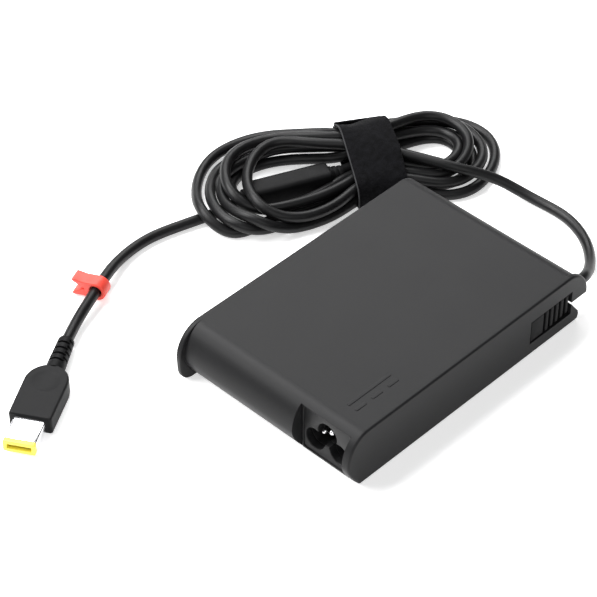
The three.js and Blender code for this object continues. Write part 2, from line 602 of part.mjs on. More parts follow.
// The plug's own strain relief: a taper with ribs, from the cord to the plug's neck.
function plugBoot() {
  const { length, tipRadius, rootRadius } = PLUG_BOOT;
  const ribs = 5;
  const pitch = (length - 2) / ribs;
  const profile = [[0, 0], [tipRadius, 0], [tipRadius, 1]];
  for (let i = 0; i < ribs; i += 1) {
    const x = 1 + i * pitch;
    const radius = tipRadius + ((rootRadius - tipRadius) * (i + 1)) / ribs;
    profile.push([radius - 0.5, x + 0.4], [radius - 0.5, x + 0.9], [radius, x + 1.1], [radius, x + pitch]);
  }
  profile.push([rootRadius, length], [0, length]);
  const points = profile.map(([radius, x]) => new THREE.Vector2(radius, x));
  return new THREE.LatheGeometry(points, 14).rotateZ(-Math.PI / 2);
}
const bootHeading = Math.atan2(PLUG.neckY - PLUG_BOOT.y, PLUG.neckX - PLUG_BOOT.x);
const boot = placed(PLUG_BOOT.x, PLUG_BOOT.y, THREE.MathUtils.radToDeg(bootHeading), PLUG.height / 2);
add('plug_strain_relief', plugBoot(), RUBBER, boot);

export default group;
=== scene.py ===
import json
import math

import bmesh
import bpy
import numpy as np
from mathutils import Matrix, Vector

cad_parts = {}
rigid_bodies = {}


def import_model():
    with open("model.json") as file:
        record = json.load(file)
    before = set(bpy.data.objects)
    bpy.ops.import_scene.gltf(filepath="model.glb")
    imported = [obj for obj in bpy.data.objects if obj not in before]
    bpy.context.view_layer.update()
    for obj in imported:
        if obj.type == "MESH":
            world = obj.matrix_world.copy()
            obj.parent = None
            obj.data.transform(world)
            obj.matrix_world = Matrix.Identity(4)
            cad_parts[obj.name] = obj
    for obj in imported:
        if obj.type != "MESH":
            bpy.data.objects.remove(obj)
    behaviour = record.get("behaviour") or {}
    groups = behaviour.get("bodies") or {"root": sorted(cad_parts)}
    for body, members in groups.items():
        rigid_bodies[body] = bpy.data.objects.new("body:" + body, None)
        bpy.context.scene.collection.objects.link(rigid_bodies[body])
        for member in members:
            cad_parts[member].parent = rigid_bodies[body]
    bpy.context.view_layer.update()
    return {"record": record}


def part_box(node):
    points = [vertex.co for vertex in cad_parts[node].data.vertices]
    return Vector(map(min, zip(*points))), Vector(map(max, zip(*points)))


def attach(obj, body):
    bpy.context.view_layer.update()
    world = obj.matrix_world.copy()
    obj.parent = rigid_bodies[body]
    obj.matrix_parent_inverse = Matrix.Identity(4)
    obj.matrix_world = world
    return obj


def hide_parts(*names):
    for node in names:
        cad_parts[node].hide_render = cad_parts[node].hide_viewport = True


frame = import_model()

MM = 0.001
CORD_RADIUS = 2.0        # lengths below are in millimetres, unless they say otherwise

# ---------------------------------------------------------------- lines and shapes


def in_scene(thing):
    """The object, once it is linked into the scene."""
    bpy.context.scene.collection.objects.link(thing)
    return thing


def finished_mesh(thing):
    """A new mesh of the object as its modifiers leave it."""
    graph = bpy.context.evaluated_depsgraph_get()
    return bpy.data.meshes.new_from_object(thing.evaluated_get(graph))


def all_round(count):
    """That many angles evenly round a circle."""
    return np.linspace(0, 2 * math.pi, count, endpoint=False)


def curve_through(points, samples=12):
    """A smooth line through the points (centripetal Catmull-Rom), as an array of points."""
    p = np.array(points, float)
    first = 2 * p[0] - p[1]
    last = 2 * p[-1] - p[-2]
    p = np.vstack([first, p, last])
    line = []
    for i in range(1, len(p) - 2):
        p0, p1, p2, p3 = p[i - 1:i + 3]
        t0 = 0.0
        t1 = t0 + np.linalg.norm(p1 - p0) ** 0.5
        t2 = t1 + np.linalg.norm(p2 - p1) ** 0.5
        t3 = t2 + np.linalg.norm(p3 - p2) ** 0.5
        for t in np.linspace(t1, t2, samples, endpoint=False):
            a1 = (t1 - t) / (t1 - t0) * p0 + (t - t0) / (t1 - t0) * p1
            a2 = (t2 - t) / (t2 - t1) * p1 + (t - t1) / (t2 - t1) * p2
            a3 = (t3 - t) / (t3 - t2) * p2 + (t - t2) / (t3 - t2) * p3
            b1 = (t2 - t) / (t2 - t0) * a1 + (t - t0) / (t2 - t0) * a2
            b2 = (t3 - t) / (t3 - t1) * a2 + (t - t1) / (t3 - t1) * a3
            line.append((t2 - t) / (t2 - t1) * b1 + (t - t1) / (t2 - t1) * b2)
    line.append(p[-2])
    return np.array(line)


def length_of(line):
    return float(np.linalg.norm(np.diff(line, axis=0), axis=1).sum())


def evenly_spaced(line, step):
    """The same line with its points about one step apart."""
    along = np.concatenate([[0], np.cumsum(np.linalg.norm(np.diff(line, axis=0), axis=1))])
    places = np.linspace(0, along[-1], int(round(along[-1] / step)) + 1)
    return np.stack([np.interp(places, along, line[:, k]) for k in range(3)], 1)


def averaged(values, width, reach):
    """Each row averaged with its neighbours along the line, by a bell of that width in rows."""
    k = np.arange(-reach, reach + 1)
    bell = np.exp(-(k / width) ** 2)
    bell /= bell.sum()
    padded = np.pad(values, ((reach, reach), (0, 0)), mode="edge")
    return np.stack([np.convolve(padded[:, c], bell, "valid") for c in range(values.shape[1])], 1)


def frame_at(x, y, heading, z=0.0):
    """The matrix of a frame that stands at a point, turned about the vertical by degrees."""
    return Matrix.Translation((x, y, z)) @ Matrix.Rotation(math.radians(heading), 4, "Z")


def loft(rings, closed=True, caps=True):
    """A mesh through rings of points that all have the same number of points."""
    bm = bmesh.new()
    loops = [[bm.verts.new(Vector(p)) for p in ring] for ring in rings]
    pairs = list(zip(loops[:-1], loops[1:]))
    for low, high in pairs:
        count = len(low)
        for i in range(count if closed else count - 1):
            j = (i + 1) % count
            bm.faces.new((low[i], low[j], high[j], high[i]))
    if caps:
        bm.faces.new(loops[0][::-1])
        bm.faces.new(loops[-1])
    bmesh.ops.remove_doubles(bm, verts=bm.verts, dist=1e-4)
    bmesh.ops.recalc_face_normals(bm, faces=bm.faces)
    mesh = bpy.data.meshes.new("loft")
    bm.to_mesh(mesh)
    bm.free()
    return mesh


def bevelled_prism(outlines, low, high, bevel):
    """Flat outlines, the first one outside and the rest holes, pushed up z with rounded edges."""
    curve = bpy.data.curves.new("prism", "CURVE")
    curve.dimensions = "2D"
    curve.fill_mode = "BOTH"
    curve.extrude = (high - low) / 2 - bevel
    curve.bevel_depth = bevel
    curve.bevel_resolution = 2
    curve.offset = -bevel
    for outline in outlines:
        spline = curve.splines.new("POLY")
        spline.points.add(len(outline) - 1)
        for point, (x, y) in zip(spline.points, outline):
            point.co = (x, y, 0, 1)
        spline.use_cyclic_u = True
    holder = in_scene(bpy.data.objects.new("prism", curve))
    mesh = finished_mesh(holder)
    bpy.data.objects.remove(holder)
    bpy.data.curves.remove(curve)
    mesh.transform(Matrix.Translation((0, 0, (low + high) / 2)))
    bm = bmesh.new()
    bm.from_mesh(mesh)
    bmesh.ops.remove_doubles(bm, verts=bm.verts, dist=1e-4)
    bm.to_mesh(mesh)
    bm.free()
    return mesh


# Takes an outline drawn in x and y to y and z, and its thickness to x.
STAND = Matrix(((0, 0, 1, 0), (1, 0, 0, 0), (0, 1, 0, 0), (0, 0, 0, 1)))


def across_x(outlines, low, high, bevel):
    """The same for (y, z) outlines, pushed along x."""
    mesh = bevelled_prism(outlines, low, high, bevel)
    mesh.transform(STAND)
    return mesh


def block(low, high):
    """A plain box, for cutting other shapes."""
    (x0, y0, z0), (x1, y1, z1) = low, high
    rings = [[(x0, y0, z), (x1, y0, z), (x1, y1, z), (x0, y1, z)] for z in (z0, z1)]
    return loft(rings)


def combined(mesh, tool, operation="DIFFERENCE"):
    """The mesh with a tool cut from it, or added to it."""
    body = in_scene(bpy.data.objects.new("body", mesh))
    other = in_scene(bpy.data.objects.new("tool", tool))
    change = body.modifiers.new("change", "BOOLEAN")
    change.operation = operation
    change.solver = "EXACT"
    change.object = other
    bpy.context.view_layer.update()
    result = finished_mesh(body)
    bpy.data.objects.remove(body)
    bpy.data.objects.remove(other)
    bpy.data.meshes.remove(tool)
    return result


def joined(*meshes):
    """Several closed shapes as one mesh."""
    bm = bmesh.new()
    for mesh in meshes:
        bm.from_mesh(mesh)
        bpy.data.meshes.remove(mesh)
    whole = bpy.data.meshes.new("joined")
    bm.to_mesh(whole)
    bm.free()
    return whole


def arc(middle, radius, start, end, steps):
    """Points on a circle in a plane, from one angle to another, in degrees."""
    angles = np.radians(np.linspace(start, end, steps + 1))
    return [(middle[0] + radius * math.cos(a), middle[1] + radius * math.sin(a)) for a in angles]


def rounded_rectangle(half_x, half_y, corner, steps=4):
    x = half_x - corner
    y = half_y - corner
    corners = [((x, y), 0), ((-x, y), 90), ((-x, -y), 180), ((x, -y), 270)]
    return [p for middle, start in corners for p in arc(middle, corner, start, start + 90, steps)]


def lathe(profile, sides=40):
    """A turned shape round the x axis, from (x, radius) points."""
    angles = all_round(sides)
    rings = [[(x, r * math.cos(a), r * math.sin(a)) for a in angles] for x, r in profile]
    return loft(rings)


# ---------------------------------------------------------------- materials

SOCKET_NAMES = {
    "specular": "Specular IOR Level",
    "sheen": "Sheen Weight",
    "sheen_roughness": "Sheen Roughness",
}
SLOT_COLOUR = {row["slot"]: row["base_color"] for row in frame["record"]["materials"]}


def set_inputs(node, values):
    for name, value in values.items():
        node.inputs[name].default_value = value


def ranged(tree, value, low, high):
    """A texture value, which is mostly from 0.3 to 0.7, spread from low to high."""
    node = tree.nodes.new("ShaderNodeMapRange")
    set_inputs(node, {"From Min": 0.3, "From Max": 0.7, "To Min": low, "To Max": high})
    tree.links.new(value, node.inputs["Value"])
    return node.outputs["Result"]


def noise_texture(tree, place, size, detail=3.0):
    """Noise whose lumps are about one size, in millimetres."""
    node = tree.nodes.new("ShaderNodeTexNoise")
    set_inputs(node, {"Scale": 1 / (size * MM), "Detail": detail})
    tree.links.new(place, node.inputs["Vector"])
    return node.outputs["Fac"]


def band_texture(tree, place, size, direction):
    """Even bands across one axis, such as the turns of a winding or the threads of a weave."""
    node = tree.nodes.new("ShaderNodeTexWave")
    node.bands_direction = direction
    set_inputs(node, {"Scale": 0.314 / (size * MM), "Distortion": 0.6, "Detail Scale": 2.0})
    tree.links.new(place, node.inputs["Vector"])
    return node.outputs["Fac"]


def mixed(tree, factor, first, second, blend_type="MIX"):
    node = tree.nodes.new("ShaderNodeMix")
    node.data_type = "RGBA"
    node.blend_type = blend_type
    for socket, value in ((node.inputs[0], factor), (node.inputs[6], first), (node.inputs[7], second)):
        if isinstance(value, (float, int, tuple)):
            socket.default_value = value
        else:
            tree.links.new(value, socket)
    return node.outputs[2]


def tinted(colour, factor):
    return (*(min(c * factor, 1.0) for c in colour), 1)


def make_material(slot, roughness, rough_spread=0.08, tint=0.2, blotch=6.0, grain=0.35, relief=0.01,
                  metallic=0.0, bands=None, colour=None, **sockets):
    """A finish with slow variation of colour and gloss, and fine relief. Sizes are in millimetres."""
    colour = colour or SLOT_COLOUR[slot]
    material = bpy.data.materials.new(slot)
    material.use_nodes = True
    tree = material.node_tree
    shader = tree.nodes["Principled BSDF"]
    place = tree.nodes.new("ShaderNodeTexCoord").outputs["Object"]
    slow = noise_texture(tree, place, blotch)
    fine = noise_texture(tree, place, grain)
    base = mixed(tree, ranged(tree, slow, 0, 1), tinted(colour, 1 - tint), tinted(colour, 1 + tint))
    speck = mixed(tree, ranged(tree, fine, 0, 1), tinted((1, 1, 1), 1 - tint), tinted((1, 1, 1), 1.0))
    tree.links.new(mixed(tree, 1.0, base, speck, "MULTIPLY"), shader.inputs["Base Color"])
    gloss = tree.nodes.new("ShaderNodeMath")
    gloss.operation = "ADD"
    tree.links.new(ranged(tree, slow, roughness - rough_spread, roughness), gloss.inputs[0])
    tree.links.new(ranged(tree, fine, 0, rough_spread), gloss.inputs[1])
    tree.links.new(gloss.outputs[0], shader.inputs["Roughness"])
    height = fine
    if bands:
        size, direction = bands
        total = tree.nodes.new("ShaderNodeMath")
        total.operation = "ADD"
        tree.links.new(fine, total.inputs[0])
        tree.links.new(band_texture(tree, place, size, direction), total.inputs[1])
        height = total.outputs[0]
    bump = tree.nodes.new("ShaderNodeBump")
    set_inputs(bump, {"Distance": relief * MM, "Strength": 1.0})
    tree.links.new(height, bump.inputs["Height"])
    tree.links.new(bump.outputs["Normal"], shader.inputs["Normal"])
    set_inputs(shader, {"Metallic": metallic})
    set_inputs(shader, {SOCKET_NAMES[name]: value for name, value in sockets.items()})
    return material


FINISHES = {
    "case": dict(
        roughness=0.45, rough_spread=0.03, tint=0.05, blotch=18, grain=0.3, relief=0.02, specular=0.13,
        colour=(0.011, 0.011, 0.0116),
    ),
    "label": dict(roughness=0.45, tint=0.05, grain=0.5, relief=0.004),
    "inlet_plastic": dict(
        roughness=0.42, grain=0.4, relief=0.006, specular=0.15, colour=(0.012, 0.012, 0.0125),
    ),
    "contact_metal": dict(roughness=0.18, tint=0.05, grain=1.2, relief=0.004, metallic=1.0),
    "soft_rubber": dict(
        roughness=0.5, tint=0.12, grain=0.35, relief=0.015, specular=0.08,
        colour=(0.007, 0.007, 0.0074),
    ),
    "shield_metal": dict(roughness=0.38, metallic=1.0, bands=(0.4, "X"), relief=0.004),
    "insulation_film": dict(roughness=0.3, tint=0.1, blotch=12),
    "circuit_board": dict(roughness=0.35, tint=0.3, blotch=2.5, bands=(1.6, "X")),
    "component_grey": dict(roughness=0.45, grain=0.5),
    "component_green": dict(roughness=0.35, blotch=2, relief=0.03, grain=1.2),
    "component_black": dict(roughness=0.5, tint=0.15),
    "film_capacitor": dict(roughness=0.35, tint=0.08, grain=1.0),
    "ferrite": dict(roughness=0.6, tint=0.25, grain=0.5, relief=0.03),
    "copper_wire": dict(roughness=0.3, metallic=1.0, bands=(0.6, "Z"), relief=0.15),
    "capacitor_sleeve": dict(roughness=0.25, tint=0.1, grain=1.5),
    "capacitor_can": dict(roughness=0.3, metallic=1.0, bands=(0.5, "Z"), relief=0.004),
    "wire_jacket": dict(roughness=0.45, tint=0.15, grain=0.5),
    "cord_jacket": dict(
        roughness=0.4, tint=0.12, blotch=14, grain=0.45, relief=0.02, specular=0.2,
        colour=(0.006, 0.006, 0.0064),
    ),
    "strap_fabric": dict(
        roughness=0.92, tint=0.5, blotch=1.8, grain=0.32, relief=0.3, specular=0.06, sheen=0.01,
        sheen_roughness=0.5,
    ),
    "clip_red": dict(roughness=0.42, tint=0.06, grain=0.4, relief=0.012, specular=0.3),
    "plug_plastic": dict(
        roughness=0.5, rough_spread=0.04, tint=0.06, blotch=9, grain=0.3, relief=0.02, specular=0.1,
        colour=(0.009, 0.009, 0.0095),
    ),
    "plug_metal": dict(roughness=0.2, tint=0.03, metallic=1.0, bands=(0.3, "Z"), relief=0.002),
    "tip_yellow": dict(roughness=0.35, tint=0.06, grain=0.5),
}
MATERIALS = {slot: make_material(slot, **finish) for slot, finish in FINISHES.items()}


def finish_cad_nodes():
    """Every carried-over CAD node gets the material of its slot."""
    for row in frame["record"]["subparts"]:
        node = bpy.data.objects[row["node"]]
        for socket in node.material_slots:
            socket.material = MATERIALS[row["material_slot"]]
        if not node.material_slots:
            node.data.materials.append(MATERIALS[row["material_slot"]])


def add_piece(name, mesh, slot, replaces=(), body="adapter", place=Matrix.Identity(4), sharp=35):
    """A finished piece from a mesh in millimetres, with its finish, body and CAD nodes."""
    mesh.transform(Matrix.Scale(MM, 4) @ place)
    mesh.materials.clear()
    mesh.materials.append(MATERIALS[slot])
    mesh.shade_smooth()
    mesh.set_sharp_from_angle(angle=math.radians(sharp))
    mesh.name = name
    piece = in_scene(bpy.data.objects.new(name, mesh))
    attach(piece, body)
    if replaces:
        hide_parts(*replaces)
    return piece


finish_cad_nodes()

# ---------------------------------------------------------------- camera

CAMERA_AIM = Vector((-2.9, 37.7, 0)) * MM
CAMERA_DISTANCE = 833.4 * MM
CAMERA_AZIMUTH = math.radians(-45.87)
CAMERA_ELEVATION = math.radians(41.96)
CAMERA_LENS = 144.5


def make_camera():
    data = bpy.data.cameras.new("camera")
    data.lens = CAMERA_LENS
    data.sensor_width = 36
    data.clip_start = 0.05
    data.clip_end = 10
    camera = in_scene(bpy.data.objects.new("camera", data))
    back = Vector((
        math.sin(CAMERA_AZIMUTH) * math.cos(CAMERA_ELEVATION),
        -math.cos(CAMERA_AZIMUTH) * math.cos(CAMERA_ELEVATION),
        math.sin(CAMERA_ELEVATION),
    ))
    camera.location = CAMERA_AIM + back * CAMERA_DISTANCE
    camera.rotation_euler = back.to_track_quat("Z", "Y").to_euler()
    bpy.context.scene.camera = camera


make_camera()

# ---------------------------------------------------------------- the DC cord's route

# In millimetres, outlet to hank, then hank to plug. The CAD source has the same points, but for
# the ones next to the hank.
LEAD_ROUTE = [
    (57.7, -33, 10.2), (62, -32.9, 10), (66.5, -32.4, 9.2), (71.5, -30.2, 7), (77.5, -26.6, 4.6),
    (83.8, -21.3, 2.8), (88.7, -15.6, 2.1), (91.8, -9.5, 2.1), (93.9, -2.5, 2.1), (94.2, 4.3, 2.1),
    (93.8, 10.9, 2.1), (92.9, 16.9, 2.9),
]
TAIL_ROUTE = [
    (2.1, 91, 2.3), (-6.8, 93.8, 2.1), (-16.5, 96.3, 2.1), (-25.4, 96.7, 2.1), (-34.2, 95, 2.8),
    (-42, 91.9, 4.2), (-50.6, 88.2, 4.3), (-59.2, 84.5, 4.2), (-66.6, 81.4, 3.5), (-75.3, 76.7, 3.5),
]
HANK_X = 56.7
HANK_Y = 71.0
HANK_HEADING = -30.5
HANK = frame_at(HANK_X, HANK_Y, HANK_HEADING)


def from_hank(u, v, z):
    """A point in the hank's own frame, u along it and v across it, in the row frame."""
    return tuple(HANK @ Vector((u, v, z)))


LOW = 2.05              # height of a cord that lies on the table

# Half turns round the left end, each from its far side to its near side.
LEFT_TOP = [
    (-5, 8, 11.4), (-11.5, 10.7, 11.2), (-16, 13.1, 11), (-20.9, 15, 10.6), (-25.8, 14.6, 10.3),
    (-30.4, 11.4, 10.2), (-34.7, 5.9, 10.2), (-37.8, -0.8, 10.2), (-39.3, -7.7, 10.3),
    (-39.1, -13.8, 10.2), (-37.4, -18.6, 9.7), (-34.5, -21.9, 8.6), (-31, -23.4, 7.3),
    (-27.2, -24.1, 6.5), (-22, -24.3, 6.2), (-16.8, -23.4, 6.2), (-11, -21.2, 6.3), (-5.5, -18.2, 6.6),
]
LEFT_HIDDEN = [
    (-5, 19.2, 4.4), (-11, 21.4, 3.4), (-18, 22.4, 2.6), (-27, 22.3, 2.2), (-36, 20.2, LOW),
    (-43.1, 15.8, 2.5), (-46.4, 11.8, 3.2), (-49.1, 6.5, 4.4), (-51.3, 0.3, 5.6), (-52.4, -6.1, 6.2),
    (-51.8, -12.1, 6.3), (-50.1, -17.2, 6.2), (-47.2, -21.6, 6.2), (-42.8, -24, 5.6),
    (-37.6, -23.4, 3.4), (-31, -21.2, 2.1), (-23, -19.8, LOW), (-15, -17.9, 2.3), (-6, -14.4, 3.1),
]
LEFT_MIDDLE = [
    (-5, 12.2, 7.2), (-13.7, 14.5, 6.8), (-19, 15.8, 6.6), (-23.2, 16.1, 6.3), (-27.9, 15.2, 6.2),
    (-32.7, 13.5, 6.1), (-37.1, 11.6, 6.1), (-41.4, 8.8, 6.1), (-44.8, 5, 6.1), (-47.1, 0.5, 6.1),
    (-48.1, -4, 6.2), (-48.2, -8.8, 6.4), (-47.3, -13.6, 6.6), (-45.3, -18.2, 7.4), (-42.4, -22.2, 8),
    (-38.8, -25, 7.2), (-34, -26, 5), (-28, -25.1, 2.9), (-22, -24, 2.2), (-16.5, -22.6, 2.1),
    (-11, -20.9, 2.3), (-5.5, -18.4, 2.9),
]
LEFT_OUTER = [
    (-4.5, 16.5, 9.9), (-12.2, 19.9, 8.4), (-18.8, 23.1, 7), (-25.1, 25, 6), (-32.8, 26, 4.4),
    (-40.4, 24.9, 2.9), (-46.6, 21, 2.3), (-52, 13.7, 2.1), (-55.1, 6.1, 2.8), (-56.8, -1.4, 4.3),
    (-57.4, -8.1, 5.6), (-56.6, -13, 5.8), (-54.6, -17, 4.6), (-51.4, -20, 2.9), (-47.4, -21.8, 2.1),
    (-42, -21, LOW), (-36, -18.8, LOW), (-29, -16.9, LOW), (-20, -15.2, LOW), (-12, -13, 2.4),
    (-5.5, -10.4, 3.2),
]
LEFT_UPPER = [
    (-5, 12.1, 11.1), (-13.6, 15.6, 10.2), (-21, 17.8, 9.4), (-28.6, 18.2, 8.9), (-33.2, 17.2, 8.9),
    (-37, 15.1, 8.9), (-40.4, 12, 9.1), (-43.5, 7, 9.6), (-45.4, 0.6, 10), (-45.8, -5, 10),
    (-44.8, -9.6, 9.6), (-42.4, -13, 8.3), (-39, -15.2, 7), (-35, -16.2, 6.3), (-29.8, -16.3, 6.1),
    (-22.1, -15.9, 6.1), (-14.2, -14.7, 6.2), (-6, -12.4, 6.6),
]
LEFT_INNER = [
    (-5, 9.6, 4), (-14.4, 11.8, 3.6), (-19.7, 13.2, 3), (-23.8, 14, 2.6), (-28, 14, 2.2),
    (-31.6, 13.4, LOW), (-35.4, 12, LOW), (-38.9, 9.6, 2.3), (-41.6, 6.2, 2.9), (-43.4, 1.8, 3.8),
    (-44, -2.6, 4.8), (-43.4, -7, 5.2), (-41.2, -10.6, 4.5), (-37.4, -12.6, 3), (-32, -13, 2.1),
    (-25, -12.2, LOW), (-16, -10.4, 2.3), (-6, -6.4, 3.2),
]
# Half turns round the right end, each from its near side to its far side.
RIGHT_MIDDLE = [
    (25, -16.3, 6.3), (31.5, -18.4, 5.8), (37, -18.2, 5.3), (43, -15, 4.8), (47.7, -10.4, 4.6),
    (51.2, -4.4, 4), (52.2, 1.4, 3.8), (51.4, 6.6, 4.2), (48.6, 11.8, 4.9), (43.6, 15.4, 5.6),
    (36.8, 17, 6.1), (30, 17.4, 6.5), (24, 16.8, 7),
]
RIGHT_HIDDEN = [
    (26, -13.6, 2.5), (32, -14.9, LOW), (38.3, -14.2, LOW), (43.6, -11, LOW), (47.2, -5.8, LOW),
    (48.4, 0, LOW), (47.8, 6.2, LOW), (45.4, 11.6, LOW), (41.2, 15.4, LOW), (35.5, 16.8, 2.3),
    (29, 15.8, 3.1), (24, 14.4, 3.8),
]
RIGHT_OUTER = [
    (25.5, -18.6, 2.5), (33, -21.3, LOW), (40.5, -20.8, LOW), (47.2, -16.8, LOW), (53, -10.3, LOW),
    (56.5, -3.6, LOW), (57.6, 3.2, LOW), (56.4, 10.2, LOW), (52.4, 16, 2.1), (46, 19.8, 2.6),
    (39, 21.2, 2.9), (31, 20.6, 3.2), (24.5, 18.9, 3.5),
]
RIGHT_UPPER = [
    (25, -11.9, 6.3), (31.8, -14, 6.1), (36.7, -12.4, 6.3), (41.2, -9.2, 6.8), (44.8, -5.2, 7.6),
    (46.6, -0.8, 8.4), (46.6, 4, 9.1), (45, 8.6, 9.6), (41.8, 12.6, 9.9), (37.6, 15.2, 10),
    (32.4, 15.6, 10.3), (26, 14.1, 10.7),
]
RIGHT_INNER = [
    (25, -8.8, 6.3), (32.7, -10, 6.1), (39.2, -6.9, 6.1), (43, -1.9, 6.1), (43.8, 3.2, 6), (42, 8, 5.8),
    (38.2, 11.4, 5.8), (32.4, 12.8, 6.1), (25.5, 12, 7),
]
RIGHT_LOWEST = [
    (25.5, -6.4, 2.6), (32, -8, LOW), (38.2, -7.2, LOW), (42.6, -3.4, LOW), (44.2, 1.8, LOW),
    (43.2, 7.4, LOW), (39.6, 11.6, LOW), (34, 12.9, LOW), (26, 11, 3),
]
PASS_U = (2.5, 10, 17.5)        # where a pass through the strap is pinned down


def left_to_right(*places):
    """A pass through the strap on its near side, by its (v, z) places from left to right."""
    return [(u, *place) for u, place in zip(PASS_U, places)]


def right_to_left(*places):
    return [(u, *place) for u, place in zip(PASS_U[::-1], places)]


def hank_route():
    route = [(54.5, -24.1, 4.2), (51.9, -21.9, 5.2), (48.8, -20.7, 6.4), (44.9, -19.4, 7.8), (41, -18.2, 9)]
    route += [(37.2, -16.7, 9.9), (33.4, -14.4, 10.3), (29.8, -11.7, 10.4), (25.4, -8.6, 10.4)]
    route += right_to_left((-3.6, 10.7), (1.2, 11.3), (5, 11.4))
    route += LEFT_TOP + left_to_right((-12.9, 7.1), (-12.6, 7.1), (-13.2, 7))
    route += RIGHT_MIDDLE + right_to_left((15.5, 7.8), (16.6, 5.3), (16.8, 4.6))
    route += LEFT_HIDDEN + left_to_right((-10.7, 3.6), (-10.3, 3.6), (-10.6, 3.5))
    route += RIGHT_HIDDEN + right_to_left((12.3, 4.2), (12.1, 4), (11.4, 6.6))
    route += LEFT_MIDDLE + left_to_right((-14.6, 3.6), (-14.2, 3.6), (-14.8, 3.5))
    route += RIGHT_OUTER + right_to_left((16.5, 3.7), (13.6, 6.8), (14.6, 9.4))
    route += LEFT_OUTER + left_to_right((-6.6, 3.6), (-7, 4.2), (-8.8, 6.9))
    route += RIGHT_UPPER + right_to_left((11.5, 10.7), (10.4, 10.8), (10.3, 11))
    route += LEFT_UPPER + left_to_right((-8.8, 7.1), (-6.6, 8.4), (-5.4, 7.2))
    route += RIGHT_INNER + right_to_left((10.9, 7.6), (10, 7.4), (9, 4.6))
    route += LEFT_INNER + left_to_right((-2.6, 3.6), (-3, 3.6), (-4.6, 3.5))
    route += RIGHT_LOWEST + right_to_left((8.4, 3.6), (5, 3.6), (1.8, 3.7))
    route += [(-6, -0.9, 3.9), (-14, -2, 4), (-22.4, -3, 4), (-30, -3.9, 4), (-37.6, -4.8, 4)]
    route += [(-43, -5.9, 3), (-49, -8, 2.1)]
    return [from_hank(*p) for p in route]


NODE_STEP = 1.25         # the settled line's points are this far apart
TOUCHING = 4.04          # cords that touch have their middle lines this far apart
SAME_PLACE = 9           # points nearer than this along the cord aren't compared
SETTLE_ROUNDS = 300
CALM_ROUNDS = 60         # the last rounds, with no stiffness
FIXED_START = 50         # points at the outlet end that stay where they are
FIXED_END = 75           # and at the plug end


def rounded_route(line):
    """The route without its small kinks: what averaging takes off the curves is put back."""
    smooth = averaged(line, 6.0, 16)
    for _ in range(2):
        smooth = smooth + averaged(line - smooth, 6.0, 16)
    ends = np.arange(len(line))
    hold = np.clip((ends - 8) / 10, 0, 1) * np.clip((len(line) - 9 - ends) / 10, 0, 1)
    return line + (smooth - line) * hold[:, None]


def settled(line):
    """The line after stretches that lie in each other have pushed each other apart."""
    start = line.copy()
    count = len(line)
    ends = np.arange(count)
    hold = np.clip((ends - FIXED_START) / 20, 0, 1) * np.clip((count - 1 - ends - FIXED_END) / 20, 0, 1)
    for step in range(SETTLE_ROUNDS):
        if step % 10 == 0:
            apart = np.linalg.norm(line[:, None] - line[None], axis=2)
            first, second = np.nonzero(apart < 7)
            near = second - first > SAME_PLACE
            first, second = first[near], second[near]
        gap = line[second] - line[first]
        distance = np.linalg.norm(gap, axis=1)
        push = np.clip(TOUCHING - distance, 0, None)
        away = gap / np.maximum(distance, 1e-6)[:, None] * push[:, None]
        move = np.zeros_like(line)
        touches = np.zeros(count)
        np.add.at(move, second, away)
        np.add.at(move, first, -away)
        np.add.at(touches, second, push > 0)
        np.add.at(touches, first, push > 0)
        move *= 0.9 / np.maximum(touches, 1)[:, None]
        if step < SETTLE_ROUNDS - CALM_ROUNDS:
            move += 0.25 * (start + averaged(line - start, 3.0, 6) - line)
        line = line + averaged(move * hold[:, None], 2.6, 6)
        line[:, 2] = np.maximum(line[:, 2], CORD_RADIUS + 0.03)
    return averaged(line, 1.6, 4) * hold[:, None] + line * (1 - hold[:, None])


def cord_line():
    """The DC cord's middle line, from the outlet to the plug."""
    drawn = curve_through(LEAD_ROUTE + hank_route() + TAIL_ROUTE)
    return settled(rounded_route(evenly_spaced(drawn, NODE_STEP)))


cord_path = cord_line()


def make_cord():
    curve = bpy.data.curves.new("dc_cord", "CURVE")
    curve.dimensions = "3D"
    curve.bevel_depth = CORD_RADIUS * MM
    curve.bevel_resolution = 5
    curve.use_fill_caps = True
    spline = curve.splines.new("POLY")
    spline.points.add(len(cord_path) - 1)
    for point, co in zip(spline.points, cord_path * MM):
        point.co = (*co, 1)
    spline.use_smooth = True
    curve.materials.append(MATERIALS["cord_jacket"])
    cord = in_scene(bpy.data.objects.new("dc_cord", curve))
    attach(cord, "adapter")
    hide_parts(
        "dc_cord_lead", "dc_cord_hank_left", "dc_cord_hank_middle", "dc_cord_hank_right", "dc_cord_tail",
    )
    return cord


cord = make_cord()

# ---------------------------------------------------------------- the strap

STRAP_FRAME = frame_at(HANK_X, HANK_Y, HANK_HEADING - 2.5)
STRAP_WIDTH = 19.0
STRAP_THICK = 1.2
STRAP_SECTIONS = 16      # across its width
STRAP_SIDES = 144        # round the loop
STRAP_CLEAR = 0.05       # between the cords and the strap
STRAP_EDGE = 0.3         # how far its rounded edges stand out
FLOOR_CLEAR = 0.12
RIPPLE = 0.05            # the unevenness of its face
RIPPLE_SHARE = 20        # its unevenness sideways is the reach times the ripple over this
EDGE_WAVER = 0.12        # and of its edges


def strap_places():
    """The cord's line in the strap's frame: a along the hank, b across it, and z."""
    inverse = STRAP_FRAME.inverted()
    return np.array([inverse @ Vector(p) for p in cord_path])


def strands_at(places, a):
    """Where the cord's turns cross the plane at a, as (b, z) points."""
    before, after = places[:-1], places[1:]
    crosses = (before[:, 0] - a) * (after[:, 0] - a) <= 0
    before, after = before[crosses], after[crosses]
    share = (a - before[:, 0]) / (after[:, 0] - before[:, 0])
    return before[:, 1:] + share[:, None] * (after[:, 1:] - before[:, 1:])


